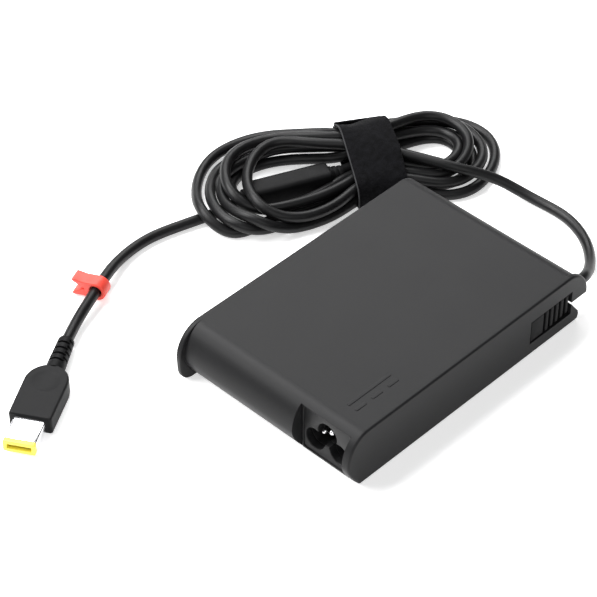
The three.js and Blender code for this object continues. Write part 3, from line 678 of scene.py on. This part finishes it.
def strap_reach(places, angles):
    """How far the bundle reaches in each direction, and how that changes, at each section."""
    sharpness = 2.0
    across = np.linspace(0, STRAP_WIDTH, STRAP_SECTIONS)
    reach = []
    for a in across:
        strands = strands_at(places, a)
        b, z = strands[:, 0][:, None], strands[:, 1][:, None]
        along = b * np.cos(angles) + z * np.sin(angles)
        most = along.max(0)
        reach.append(most + np.log(np.exp(sharpness * (along - most)).sum(0)) / sharpness)
    reach = np.array(reach)
    padded = np.pad(reach, ((1, 1), (0, 0)), mode="edge")
    widest = np.maximum(np.maximum(padded[:-2], padded[1:-1]), padded[2:])
    return across, averaged(widest, 1.6, 3)


def strap_surface(reach, angles, extra):
    """Points on a belt drawn round the bundle, that much outside the cords' surfaces."""
    step = angles[1] - angles[0]
    slope = (np.roll(reach, -1, axis=1) - np.roll(reach, 1, axis=1)) / (2 * step)
    out = reach + CORD_RADIUS + extra
    b = out * np.cos(angles) - slope * np.sin(angles)
    z = out * np.sin(angles) + slope * np.cos(angles)
    return b, z


def make_strap():
    angles = all_round(STRAP_SIDES)
    across, reach = strap_reach(strap_places(), angles)
    layers = []
    for extra in (STRAP_CLEAR, STRAP_CLEAR + STRAP_THICK):
        b, z = strap_surface(reach, angles, extra)
        z = np.maximum(z, FLOOR_CLEAR + extra - STRAP_CLEAR)
        layers.append((b, z))
    (inner_b, inner_z), (outer_b, outer_z) = layers
    grid = []
    rows = [(i, 1.0, 0.0) for i in range(STRAP_SECTIONS)]
    first, last = rows[0][0], rows[-1][0]
    back = [(i, 0.0, 0.0) for i in range(last, -1, -1)]
    profile = [(first, 0.5, -STRAP_EDGE)] + rows + [(last, 0.5, STRAP_EDGE)] + back
    for index, share, push in profile:
        b = inner_b[index] + share * (outer_b[index] - inner_b[index])
        z = inner_z[index] + share * (outer_z[index] - inner_z[index])
        ripple = RIPPLE * np.sin(angles * 23 + index * 1.7) * np.sin(angles * 7 + index * 0.6)
        a = across[index] + push + EDGE_WAVER * np.sin(angles * 5 + 1.0)
        grid.append(np.stack([a, b * (1 + ripple / RIPPLE_SHARE), z + np.where(z > 2, ripple, 0)], 1))
    grid.append(grid[0])
    mesh = loft(grid, closed=True, caps=False)
    strap = add_piece(
        "cord_strap_loop", mesh, "strap_fabric", ["cord_strap"], "strap", STRAP_FRAME, sharp=60,
    )
    middle_b = (inner_b + outer_b)[STRAP_SECTIONS // 2] / 2
    middle_z = (inner_z + outer_z)[STRAP_SECTIONS // 2] / 2
    ring = np.stack([middle_b, middle_z], 1)
    girth = length_of(np.vstack([ring, ring[:1]]))
    return strap, girth, across, outer_b, outer_z, angles


strap, strap_girth, strap_across, strap_b, strap_z, strap_angles = make_strap()


# A lighter, glossier copy of the strap's finish: a painted highlight for the strap's left edge.
PAINTED_STRAP_EDGE_HIGHLIGHT = make_material(
    "strap_fabric", 0.8, tint=0.3, grain=0.3, relief=0.05, colour=(0.03, 0.03, 0.032), specular=0.3,
)


def make_painted_strap_edge_highlight():
    """A thin tube along the strap's left edge, in a lighter finish than the strap: a painted highlight on
    that edge.
    """
    curve = bpy.data.curves.new("painted_strap_edge_highlight", "CURVE")
    curve.dimensions = "3D"
    curve.bevel_depth = 0.28 * MM
    curve.bevel_resolution = 3
    spline = curve.splines.new("POLY")
    spline.points.add(STRAP_SIDES - 1)
    for point, b, z, angle in zip(spline.points, strap_b[0], strap_z[0], strap_angles):
        a = strap_across[0] - 0.05 + EDGE_WAVER * math.sin(angle * 5 + 1.0)
        place = STRAP_FRAME @ Vector((a, b, max(z, FLOOR_CLEAR + 0.3)))
        point.co = (*(place * MM), 1)
    spline.use_cyclic_u = True
    curve.materials.append(PAINTED_STRAP_EDGE_HIGHLIGHT)
    rim = in_scene(bpy.data.objects.new("painted_strap_edge_highlight", curve))
    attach(rim, "strap")
    return rim


painted_strap_edge_highlight = make_painted_strap_edge_highlight()


TAB_TOP_Z = 9.2
TAB_LOW_Z = 1.6
TAB_THICK = 1.0
TAB_INSET = 0.6          # from each edge of the strap
TAB_CORNER = 1.6
TAB_STEPS = 12


def make_strap_tab():
    """The strap's free end, which lies down the far side of the loop."""
    middle = STRAP_SECTIONS // 2
    side = [
        (b, z) for b, z, angle in zip(strap_b[middle], strap_z[middle], strap_angles)
        if b > 10 and TAB_LOW_Z < z < TAB_TOP_Z
    ]
    side.sort(key=lambda p: p[1])
    heights = np.linspace(TAB_LOW_Z, TAB_TOP_Z, TAB_STEPS)
    b_at = np.interp(heights, [z for _, z in side], [b for b, _ in side])
    reach = float(b_at.max())
    rings = []
    for index, (b, z) in enumerate(zip(b_at, heights)):
        out = max(b, reach - 0.4) + 0.5
        left = TAB_INSET + TAB_CORNER * max(0.0, 1 - index / 2.5) ** 2
        right = STRAP_WIDTH - left
        rim = out + TAB_THICK
        rings.append([(left, out, z), (left, rim, z), (right, rim, z), (right, out, z)])
    tab = add_piece("strap_free_end", loft(rings), "strap_fabric", ["strap_tab"], "strap_end", STRAP_FRAME)
    edge = tab.modifiers.new("edges", "BEVEL")
    edge.width = 0.25 * MM
    edge.segments = 3
    edge.limit_method = "ANGLE"
    edge.angle_limit = math.radians(50)
    return tab


strap_tab = make_strap_tab()

# ---------------------------------------------------------------- the case

case_low, case_high = (np.array(corner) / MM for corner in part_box("upper_case"))
SIDE_Y = float(case_high[1])
END_X = float(case_high[0])
TOP_Z = float(case_high[2])
NOSE_X = END_X - 2.0
NOSE_REACH = 9.0
BULGE_Z = 10.5
BEND_Z = 6.5
UNDERCUT = 5.6
FLANGE_THICK = 2.2
FLANGE_RADIUS = 11.0
FLANGE_FOOT_INSET = 5.0
FLANGE_FOOT_Z = 5.5
SKIN = 2.2
SIDE_ROUND = 0.8         # rounding of the case's long outer edges
EDGE = 0.45              # and of its flanges' inner edges
FOOT_STEPS = 14
ARC_STEPS = 24


def quadratic(p0, p1, p2, steps):
    t = np.linspace(0, 1, steps, endpoint=False)[:, None]
    p0, p1, p2 = (np.array(p, float) for p in (p0, p1, p2))
    return (1 - t) ** 2 * p0 + 2 * (1 - t) * t * p1 + t ** 2 * p2


def nose_curve(inset, bottom):
    """One end in side view, from its foot over the rolled nose to the start of the flat top."""
    tip = NOSE_X - inset
    foot = quadratic((NOSE_X - UNDERCUT - inset, bottom), (tip, BEND_Z), (tip, BULGE_Z), FOOT_STEPS)
    start = NOSE_X - NOSE_REACH
    angles = np.radians(np.linspace(0, 90, ARC_STEPS + 1))
    bow = np.stack([
        start + (tip - start) * np.cos(angles), BULGE_Z + (TOP_Z - inset - BULGE_Z) * np.sin(angles),
    ], 1)
    return np.vstack([foot, bow])


def flange_curve(inset, bottom, lip=0.0):
    """The same for a flange. Its lip rounds it without touching the flat top."""
    tip = END_X - inset - lip
    heel = (END_X - FLANGE_FOOT_INSET - inset, bottom)
    foot = quadratic(heel, (tip - 0.4, bottom + 0.6), (tip - 0.2, FLANGE_FOOT_Z), 9)
    rise = np.linspace((tip - 0.2, FLANGE_FOOT_Z), (tip, BULGE_Z), FOOT_STEPS - 9, endpoint=False)
    start = END_X - FLANGE_RADIUS
    angles = np.radians(np.linspace(0, 90, ARC_STEPS + 1))
    eased = lip * np.clip((90 - np.degrees(angles)) / 35, 0, 1)
    bow = np.stack([
        start + (END_X - inset - eased - start) * np.cos(angles),
        BULGE_Z + (TOP_Z - inset - eased - BULGE_Z) * np.sin(angles),
    ], 1)
    return np.vstack([foot, rise, bow])


def case_ring(y, right, left):
    """The whole side view at one y, from the curves of its right and left ends."""
    mirrored = left[::-1] * (-1, 1)
    return [(x, y, z) for x, z in np.vstack([right, mirrored])]


def case_body():
    """The solid outside of the case, one flange on each side."""
    turns = np.radians((0, 22.5, 45, 67.5, 90))
    wall = SIDE_Y - FLANGE_THICK
    near = []
    far = []
    for inset, step in zip(SIDE_ROUND * (1 - np.sin(turns)), SIDE_ROUND * (1 - np.cos(turns))):
        near.append((-SIDE_Y + step, inset, 0.0))
        far.append((SIDE_Y - step, inset, 0.0))
    for inset, step in zip(EDGE * (1 - np.sin(turns[::-1])), EDGE * (1 - np.cos(turns[::-1]))):
        near.append((-wall - step, 0.0, inset))
        far.append((wall + step, 0.0, inset))
    plain = nose_curve(0, 0)
    rings = [case_ring(y, flange_curve(i, i, lip), nose_curve(i, i)) for y, i, lip in near]
    rings += [case_ring(-wall, plain, plain), case_ring(wall, plain, plain)]
    rings += [case_ring(y, nose_curve(i, i), flange_curve(i, i, lip)) for y, i, lip in far[::-1]]
    return loft(rings)


INLET_FACE_X = -53.9
INLET_BACK_X = -38.4
INLET_Y = -24.5
INLET_HALF = 11.0
INLET_LOW_Z = 2.2
INLET_HIGH_Z = 18.1
INLET_PLATE_X = -50.6    # behind this the socket is lower than its front plate
PLATE_LOW_Z = 0.8
PLATE_HIGH_Z = 20.3
OUTLET_START_X = 30.5
OUTLET_END_X = 52.2
OUTLET_Y = -33.0
OUTLET_Z = 10.2
OUTLET_HALF = 5.0
OUTLET_BACK_Y = -28.2
COVER_LENGTH = 99.4
COVER_WIDTH = 65.4
COVER_PLATE = 1.1
COVER_STEP = 2.0
COVER_THICK = 2.0
GAP = 0.3


def side_prism(points, low, high):
    """A side view (x, z) pushed across from one y to another."""
    return loft([[(x, y, z) for x, z in points] for y in (low, high)])


def case_hollow():
    """The space inside, less the walls round the inlet and the outlet."""
    floor_z = COVER_THICK + GAP
    curve = nose_curve(SKIN, floor_z)
    outline = np.vstack([curve, curve[::-1] * (-1, 1)])
    hollow = side_prism(outline, -SIDE_Y + SKIN, SIDE_Y - SKIN)
    wall = 1.8
    inlet = block((-70, -50, -5), (-49.5, INLET_Y + INLET_HALF + wall, TOP_Z - 1))
    hollow = combined(hollow, inlet)
    outlet = block((OUTLET_START_X - 2, -50, 3), (70, OUTLET_BACK_Y + 2, TOP_Z - 1))
    return combined(hollow, outlet)


def case_openings():
    """What is cut from the outside: the sockets, the notch under the cord and the base's opening."""
    far = 90
    y, z, half = OUTLET_Y, OUTLET_Z, OUTLET_HALF
    right, left = INLET_Y - INLET_HALF, INLET_Y + INLET_HALF
    yield block((-far, right, PLATE_LOW_Z), (INLET_PLATE_X, left, PLATE_HIGH_Z))
    yield block((-far, right, INLET_LOW_Z), (INLET_BACK_X + 1, left, INLET_HIGH_Z))
    yield block((OUTLET_START_X, -far, z - half), (OUTLET_END_X, OUTLET_BACK_Y, z + half))
    yield block((OUTLET_END_X - 1, -SIDE_Y + FLANGE_THICK, z - 4), (far, OUTLET_BACK_Y - 0.7, z + 4))
    notch = [
        (OUTLET_END_X - 0.2, z), (far, z), (far, -1), (55.7, -1), (56.6, 2.6), (56.2, 4.2),
        (OUTLET_END_X - 0.2, z - 0.4),
    ]
    yield side_prism(notch, -far, OUTLET_BACK_Y - 0.71)
    yield block((OUTLET_START_X - 3, y - 2.6, z - 1.6), (OUTLET_START_X + 1, y + 2.6, z + 1.6))
    half_length = COVER_LENGTH / 2 + GAP
    half_width = COVER_WIDTH / 2 + GAP
    yield block((-half_length, -half_width, -1), (half_length, half_width, COVER_PLATE + GAP))
    half_length -= COVER_STEP
    half_width -= COVER_STEP
    yield block((-half_length, -half_width, -2), (half_length, half_width, COVER_THICK + GAP + 1))


def make_case():
    mesh = combined(case_body(), case_hollow())
    for opening in case_openings():
        mesh = combined(mesh, opening)
    case = add_piece("case_shell", mesh, "case", ["upper_case"])
    flat = case.modifiers.new("flat faces stay flat", "WEIGHTED_NORMAL")
    flat.keep_sharp = True
    flat.weight = 100


make_case()

# ---------------------------------------------------------------- mains inlet

SIDE_PIN_Y = 5.3
SIDE_PIN_Z = 7.9
TOP_PIN_Z = 12.6
LOBE_RADIUS = 4.1
TOP_LOBE_Z = 13.2
MIDDLE_Z = 11.2
MIDDLE_RADIUS = 3.4
SOCKET_DEPTH = 11.5
PIN_RADIUS = 1.2
PIN_END_X = -36.4
PIN_PLACES = {
    "line_pin": (INLET_Y - SIDE_PIN_Y, SIDE_PIN_Z),
    "neutral_pin": (INLET_Y + SIDE_PIN_Y, SIDE_PIN_Z),
    "earth_pin": (INLET_Y, TOP_PIN_Z),
}
PIN_SET_BACK = {"line_pin": 3.6, "neutral_pin": 3.6, "earth_pin": 1.5}
RIM_WIDTH = 0.7
RIM_PROUD = 0.35


def clover_outline():
    """The socket's three lobes as one outline, (y, z) points round its middle."""
    middle = np.array((INLET_Y, 10.2))
    lobes = [(INLET_Y - SIDE_PIN_Y, SIDE_PIN_Z), (INLET_Y + SIDE_PIN_Y, SIDE_PIN_Z), (INLET_Y, TOP_LOBE_Z)]
    circles = [(np.array(lobe), LOBE_RADIUS) for lobe in lobes]
    circles.append((np.array((INLET_Y, MIDDLE_Z)), MIDDLE_RADIUS))
    points = []
    for angle in all_round(144):
        ray = np.array((math.cos(angle), math.sin(angle)))
        reach = 0.0
        for centre, radius in circles:
            along = float((centre - middle) @ ray)
            off = float(((centre - middle) ** 2).sum()) - along ** 2
            if off < radius ** 2:
                reach = max(reach, along + math.sqrt(radius ** 2 - off))
        points.append(tuple(middle + ray * reach))
    return points


def make_inlet():
    """The socket's block, drawn across x as (y, z) outlines."""
    def outline(low, high, inset):
        half_z = (high - low) / 2 - inset
        corners = rounded_rectangle(INLET_HALF - inset, half_z, 0.8)
        return [(y + INLET_Y, z + (low + high) / 2) for y, z in corners]

    floor_x = INLET_FACE_X + SOCKET_DEPTH
    clover = clover_outline()[::-1]
    plate = outline(PLATE_LOW_Z, PLATE_HIGH_Z, 0.2)
    body = outline(INLET_LOW_Z, INLET_HIGH_Z, GAP)
    rim = outline(PLATE_LOW_Z, PLATE_HIGH_Z, 0.2 + RIM_WIDTH)[::-1]
    mesh = joined(
        bevelled_prism([plate, clover], INLET_FACE_X, INLET_PLATE_X - 0.2, 0.35),
        bevelled_prism([body, clover], INLET_PLATE_X - 0.3, floor_x, 0.1),
        bevelled_prism([body], floor_x - 0.1, INLET_BACK_X, 0.2),
        bevelled_prism([plate, rim], INLET_FACE_X - RIM_PROUD, INLET_FACE_X + 0.1, 0.12),
    )
    add_piece("inlet_block", mesh, "inlet_plastic", ["inlet_housing"], place=STAND)
    for name, (y, z) in PIN_PLACES.items():
        tip_x = INLET_FACE_X + PIN_SET_BACK[name]
        rounding = [(0, 0.02), (0.1, 0.45), (0.4, 0.85), (0.9, 1.1), (1.6, PIN_RADIUS)]
        profile = [(tip_x + depth, radius) for depth, radius in rounding] + [(PIN_END_X, PIN_RADIUS)]
        pin = lathe(profile, 32)
        add_piece(f"{name}_contact", pin, "contact_metal", [name], place=Matrix.Translation((0, y, z)))


make_inlet()

# ---------------------------------------------------------------- outlet strain relief

OUTLET_FACE_Y = -38.25
OUTLET_LOW_Z = 5.35
OUTLET_HIGH_Z = 14.8
ROOT_BLOCK = (31.15, 37.6)
RIB_STARTS = [38.7 + 2.75 * i for i in range(5)]
RIB_WIDTH = 1.5
RIB_BEVEL = 0.25
COLLAR = [(-1.5, 0.5), (-1.4, 2.9), (2.6, 2.8), (4.6, 2.6), (5.1, 2.4), (5.2, 0.5)]


def make_outlet_boot():
    """A plain root block and a row of ribs on a thin core, then the collar that the cord leaves."""
    back_y = OUTLET_BACK_Y - 0.4
    half_y = (back_y - OUTLET_FACE_Y) / 2
    half_z = (OUTLET_HIGH_Z - OUTLET_LOW_Z) / 2
    middle = ((back_y + OUTLET_FACE_Y) / 2, (OUTLET_HIGH_Z + OUTLET_LOW_Z) / 2)
    parts = []
    ribs = [(x, x + RIB_WIDTH, 0.1 * i) for i, x in enumerate(RIB_STARTS)]
    for low, high, shrink in [(*ROOT_BLOCK, 0.0)] + ribs:
        outline = [
            (y + middle[0], z + middle[1])
            for y, z in rounded_rectangle(half_y - shrink, half_z - shrink, 0.9)
        ]
        parts.append(across_x([outline], low, high, RIB_BEVEL))
    core = [(y + OUTLET_Y, z + OUTLET_Z) for y, z in rounded_rectangle(2.2, 2.2, 0.8)]
    parts.append(across_x([core], ROOT_BLOCK[1] - 0.5, OUTLET_END_X, 0.2))
    collar = lathe([(OUTLET_END_X + x, radius) for x, radius in COLLAR])
    collar.transform(Matrix.Translation((0, OUTLET_Y + 0.1, OUTLET_Z)))
    parts.append(collar)
    return add_piece("outlet_boot", joined(*parts), "soft_rubber", ["outlet_strain_relief"])


outlet_boot = make_outlet_boot()

# ---------------------------------------------------------------- raised mark

MARK_X = -46.0
MARK_Y = -30.0
MARK_LENGTH = 20.0
MARK_BAR = 1.3
MARK_PROUD = 0.14


def make_mark():
    """The sign for direct current, a bar over three dashes, standing a little out of the top."""
    dash = MARK_LENGTH * 0.24
    gap = (MARK_LENGTH - 3 * dash) / 2
    bars = [(MARK_X, MARK_Y + 3.4, MARK_LENGTH)]
    bars += [(MARK_X + i * (dash + gap), MARK_Y, dash) for i in range(3)]
    parts = []
    for x, y, length in bars:
        outline = [
            (px + x + length / 2, py + y + MARK_BAR / 2)
            for px, py in rounded_rectangle(length / 2, MARK_BAR / 2, 0.4)
        ]
        parts.append(bevelled_prism([outline], TOP_Z - 0.1, TOP_Z + MARK_PROUD, 0.06))
    add_piece("direct_current_mark", joined(*parts), "case")


make_mark()

# ---------------------------------------------------------------- ferrite block

FERRITE_LENGTH = 31.0
FERRITE_HALF_WIDTH = 4.5
FERRITE_HALF_HEIGHT = 4.0
FERRITE_FRAME = HANK @ frame_at(-22.4, -3, 6.6, FERRITE_HALF_HEIGHT)


def rounded_ring(x, half_y, half_z, power=4.0, count=64):
    """A ring across x with soft corners: a superellipse."""
    angles = all_round(count)
    c, s = np.cos(angles), np.sin(angles)
    y = half_y * np.sign(c) * np.abs(c) ** (2 / power)
    z = half_z * np.sign(s) * np.abs(s) ** (2 / power)
    return np.stack([np.full(count, x), y, z], 1)


def ribbed_sleeve(start, end, root, tip, ribs):
    """A short strain relief round the cord: rings with grooves between them."""
    pitch = (end - start) / ribs
    profile = [(start, 0.5)]
    for i in range(ribs):
        radius = root + (tip - root) * i / max(ribs - 1, 1)
        x = start + i * pitch
        groove = radius - 0.6
        profile += [
            (x + 0.02, radius - 0.15), (x + 0.12 * pitch, radius), (x + 0.6 * pitch, radius),
            (x + 0.68 * pitch, radius - 0.15), (x + 0.7 * pitch, groove), (x + 0.98 * pitch, groove),
        ]
    profile.append((end, 0.5))
    return lathe(profile, 40)


def make_ferrite():
    half = FERRITE_LENGTH / 2
    shape = [(0.0, 0.86), (0.12, 0.92), (0.4, 0.965), (0.9, 0.99), (1.6, 1.0)]
    ends = [(-half + depth, scale) for depth, scale in shape]
    ends += [(half - depth, scale) for depth, scale in shape[::-1]]
    rings = [rounded_ring(x, FERRITE_HALF_WIDTH * k, FERRITE_HALF_HEIGHT * k, 5.0) for x, k in ends]
    body = loft(rings)
    right = ribbed_sleeve(half - 0.2, half + 5.4, 3.3, 2.8, 3)
    left = ribbed_sleeve(half - 0.2, half + 3.4, 3.3, 3.0, 2)
    left.transform(Matrix.Rotation(math.pi, 4, "Z"))
    mesh = joined(body, right, left)
    return add_piece("ferrite_body", mesh, "soft_rubber", ["ferrite_block"], place=FERRITE_FRAME)


ferrite = make_ferrite()

# ---------------------------------------------------------------- cord clip

CLIP_WIDTH = 5.2
CLIP_OUTER = 3.7
CLIP_FRAME = frame_at(-50.6, 88.2, 23.2, 4.3)
# One jaw from the ring to its flared tip and back along the mouth to the slit.
CLIP_JAW = [
    (2.5, 3.35), (5, 3.15), (7.4, 3.5), (8.5, 3.6), (8.9, 3.3), (8.9, 2.7),
    (8.5, 2.3), (7.3, 1.7), (6.3, 0.95), (5.5, 0.4), (4.2, 0.3),
]


def make_clip():
    """A ring round the cord with two jaws, drawn across the cord as (y, z) outlines."""
    outline = arc((0, 0), CLIP_OUTER, 97, 263, 24)
    outline += [(y, -z) for y, z in CLIP_JAW] + CLIP_JAW[::-1]
    bore = arc((0, 0), CORD_RADIUS + 0.25, 360, 10, 35)
    mesh = bevelled_prism([outline, bore], -CLIP_WIDTH / 2, CLIP_WIDTH / 2, 0.4)
    return add_piece("red_cord_clip", mesh, "clip_red", ["cord_clip"], "clip", CLIP_FRAME @ STAND)


clip = make_clip()

# ---------------------------------------------------------------- DC plug

PLUG_LENGTH = 25.2
PLUG_HALF_WIDTH = 7.55
PLUG_HALF_HEIGHT = 3.5
PLUG_NECK_X = -88.75
PLUG_NECK_Y = 68.2
PLUG_FRAME = frame_at(PLUG_NECK_X, PLUG_NECK_Y, 210.5, PLUG_HALF_HEIGHT)
SHELL_HALF_WIDTH = 5.5
SHELL_HALF_HEIGHT = 2.25
SHELL_WALL = 0.45
SHELL_REACH = 10.0
TIP_WALL = 1.3
BOOT_X = -75.9
BOOT_Y = 76.4
BOOT_LENGTH = 14.7
SHOULDER_X = 9.0
DISH = {"x": 8.2, "half_x": 5.2, "half_y": 4.9, "depth": 0.5}


def plug_half_width(x):
    """The body widens in round shoulders, and narrows a little to the front."""
    if x < SHOULDER_X:
        return PLUG_HALF_WIDTH * (1 - (1 - (x + 0.2) / (SHOULDER_X + 0.2)) ** 2.3) ** 0.476
    return PLUG_HALF_WIDTH - 0.15 * (x - SHOULDER_X) / (PLUG_LENGTH - SHOULDER_X)


def plug_ring(x, half_y, half_z, corner):
    """A rounded rectangle across x, with enough points along its top for the dish."""
    inner = half_y - corner
    top = [(y, half_z) for y in np.linspace(inner, -inner, 21)[1:-1]]
    corners = rounded_rectangle(half_y, half_z, corner)
    outline = corners[:5] + top + corners[5:]
    return np.array([(x, y, z) for y, z in outline])


def plug_body():
    front = PLUG_LENGTH
    bevel = {front - 0.45: 0.03, front - 0.25: 0.12, front - 0.08: 0.28, front: 0.5}
    rings = []
    for x in [0.0, 0.15, 0.4, *np.linspace(0.8, front - 0.8, 44), *bevel]:
        inset = bevel.get(x, 0.0)
        half_z = PLUG_HALF_HEIGHT * min(1.0, 0.84 + 0.16 * x / 7)
        ring = plug_ring(x, plug_half_width(x) - inset, half_z - inset, 0.8)
        along = (x - DISH["x"]) / DISH["half_x"]
        across = ring[:, 1] / DISH["half_y"]
        dish = np.clip(1 - along ** 2 - across ** 2, 0, 1)
        ring[:, 2] -= np.where(ring[:, 2] > 0, DISH["depth"] * dish ** 0.7, 0)
        rings.append(ring)
    return loft(rings)


def shell_frame(half_y, half_z, wall, low, high, bevel):
    """A flat rectangular sleeve round the plug's axis."""
    outer = rounded_rectangle(half_y, half_z, 0.6)
    inner = rounded_rectangle(half_y - wall, half_z - wall, 0.25)
    return across_x([outer, inner[::-1]], low, high, bevel)


def make_plug():
    body = add_piece(
        "plug_moulding", plug_body(), "plug_plastic", ["plug_body"], place=PLUG_FRAME, sharp=50,
    )
    end = PLUG_LENGTH + SHELL_REACH
    shell = shell_frame(SHELL_HALF_WIDTH, SHELL_HALF_HEIGHT, SHELL_WALL, PLUG_LENGTH - 5, end, 0.08)
    shell = add_piece("plug_shell", shell, "plug_metal", ["plug_barrel"], place=PLUG_FRAME)
    lip = shell_frame(SHELL_HALF_WIDTH, SHELL_HALF_HEIGHT, TIP_WALL, end + 0.05, end + 1.8, 0.2)
    inset = SHELL_WALL + 0.05
    sleeve = shell_frame(
        SHELL_HALF_WIDTH - inset, SHELL_HALF_HEIGHT - inset, TIP_WALL - inset, end - 6, end + 0.5, 0.1,
    )
    tip = add_piece("plug_insulator", joined(lip, sleeve), "tip_yellow", ["plug_tip"], place=PLUG_FRAME)
    rod = lathe([(PLUG_LENGTH - 4.5, 0.45), (end - 2.4, 0.45), (end - 2.05, 0.3), (end - 2, 0.05)], 24)
    pin = add_piece("plug_contact", rod, "contact_metal", ["plug_centre_pin"], place=PLUG_FRAME)
    return [body, shell, tip, pin]


def slotted_sleeve(length, tip, root, slots):
    """A tapered strain relief with short slots, by turns on its sides and on its top and bottom."""
    sides = 48
    angles = all_round(sides)
    pitch = (length - 3.2) / slots
    stations = [(0.0, 0.35, None), (0.15, 0.12, None), (0.4, 0.0, None)]
    for index in range(slots):
        x = 1.4 + index * pitch
        facing = np.abs(np.sin(angles) if index % 2 else np.cos(angles)) > 0.62
        stations += [(x, 0, None), (x + 0.05, 0, facing), (x + 0.9, 0, facing), (x + 0.95, 0, None)]
    stations += [(length, 0.0, None), (length + 0.8, 0.1, None)]
    rings = []
    for x, inset, slot in stations:
        radius = np.full(sides, tip + (root - tip) * x / length - inset)
        if slot is not None:
            radius -= np.where(slot, 1.0, 0.0)
        rings.append(np.stack([np.full(sides, x), radius * np.cos(angles), radius * np.sin(angles)], 1))
    return loft(rings)


def make_plug_boot():
    heading = math.degrees(math.atan2(PLUG_NECK_Y - BOOT_Y, PLUG_NECK_X - BOOT_X))
    place = frame_at(BOOT_X, BOOT_Y, heading, PLUG_HALF_HEIGHT)
    sleeve = slotted_sleeve(BOOT_LENGTH, 2.85, 3.35, 8)
    return add_piece("plug_boot", sleeve, "soft_rubber", ["plug_strain_relief"], place=place)


plug_pieces = make_plug()
plug_boot = make_plug_boot()

# ---------------------------------------------------------------- floor and light

FLOOR_SIZE = 4.0         # metres from the middle to each edge, as are the lights' places and sizes
FLOOR_GLOW = 0.5
WORLD_GLOW = 0.1
LIGHTS = {
    "back": ((0.8, 0.8, 0.95), 0.9, 14),
    "left": ((-0.68, 0.6, 0.72), 0.5, 9),
    "above": ((-0.14, 0.62, 1.0), 0.6, 18),
    "fill": ((-0.65, -0.7, 0.8), 1.0, 6),
}


def make_floor():
    mesh = bpy.data.meshes.new("floor")
    corners = [(x * FLOOR_SIZE, y * FLOOR_SIZE, 0) for x, y in ((-1, -1), (1, -1), (1, 1), (-1, 1))]
    mesh.from_pydata(corners, [], [(0, 1, 2, 3)])
    floor = in_scene(bpy.data.objects.new("floor", mesh))
    material = bpy.data.materials.new("floor")
    material.use_nodes = True
    shader = material.node_tree.nodes["Principled BSDF"]
    set_inputs(shader, {
        "Base Color": (0.95, 0.95, 0.95, 1), "Roughness": 0.8, "Specular IOR Level": 0.1,
        "Emission Color": (1, 1, 1, 1), "Emission Strength": FLOOR_GLOW,
    })
    mesh.materials.append(material)


def make_light(name, location, size, power):
    data = bpy.data.lights.new(name, "AREA")
    data.size = size
    data.energy = power
    light = in_scene(bpy.data.objects.new(name, data))
    light.location = location
    light.rotation_euler = Vector(location).to_track_quat("Z", "Y").to_euler()


make_floor()
for light_name, (light_place, light_size, light_power) in LIGHTS.items():
    make_light(light_name, light_place, light_size, light_power)
world = bpy.data.worlds.new("world")
world.use_nodes = True
set_inputs(world.node_tree.nodes["Background"], {"Color": (1, 1, 1, 1), "Strength": WORLD_GLOW})
bpy.context.scene.world = world
bpy.context.scene.view_settings.view_transform = "Standard"
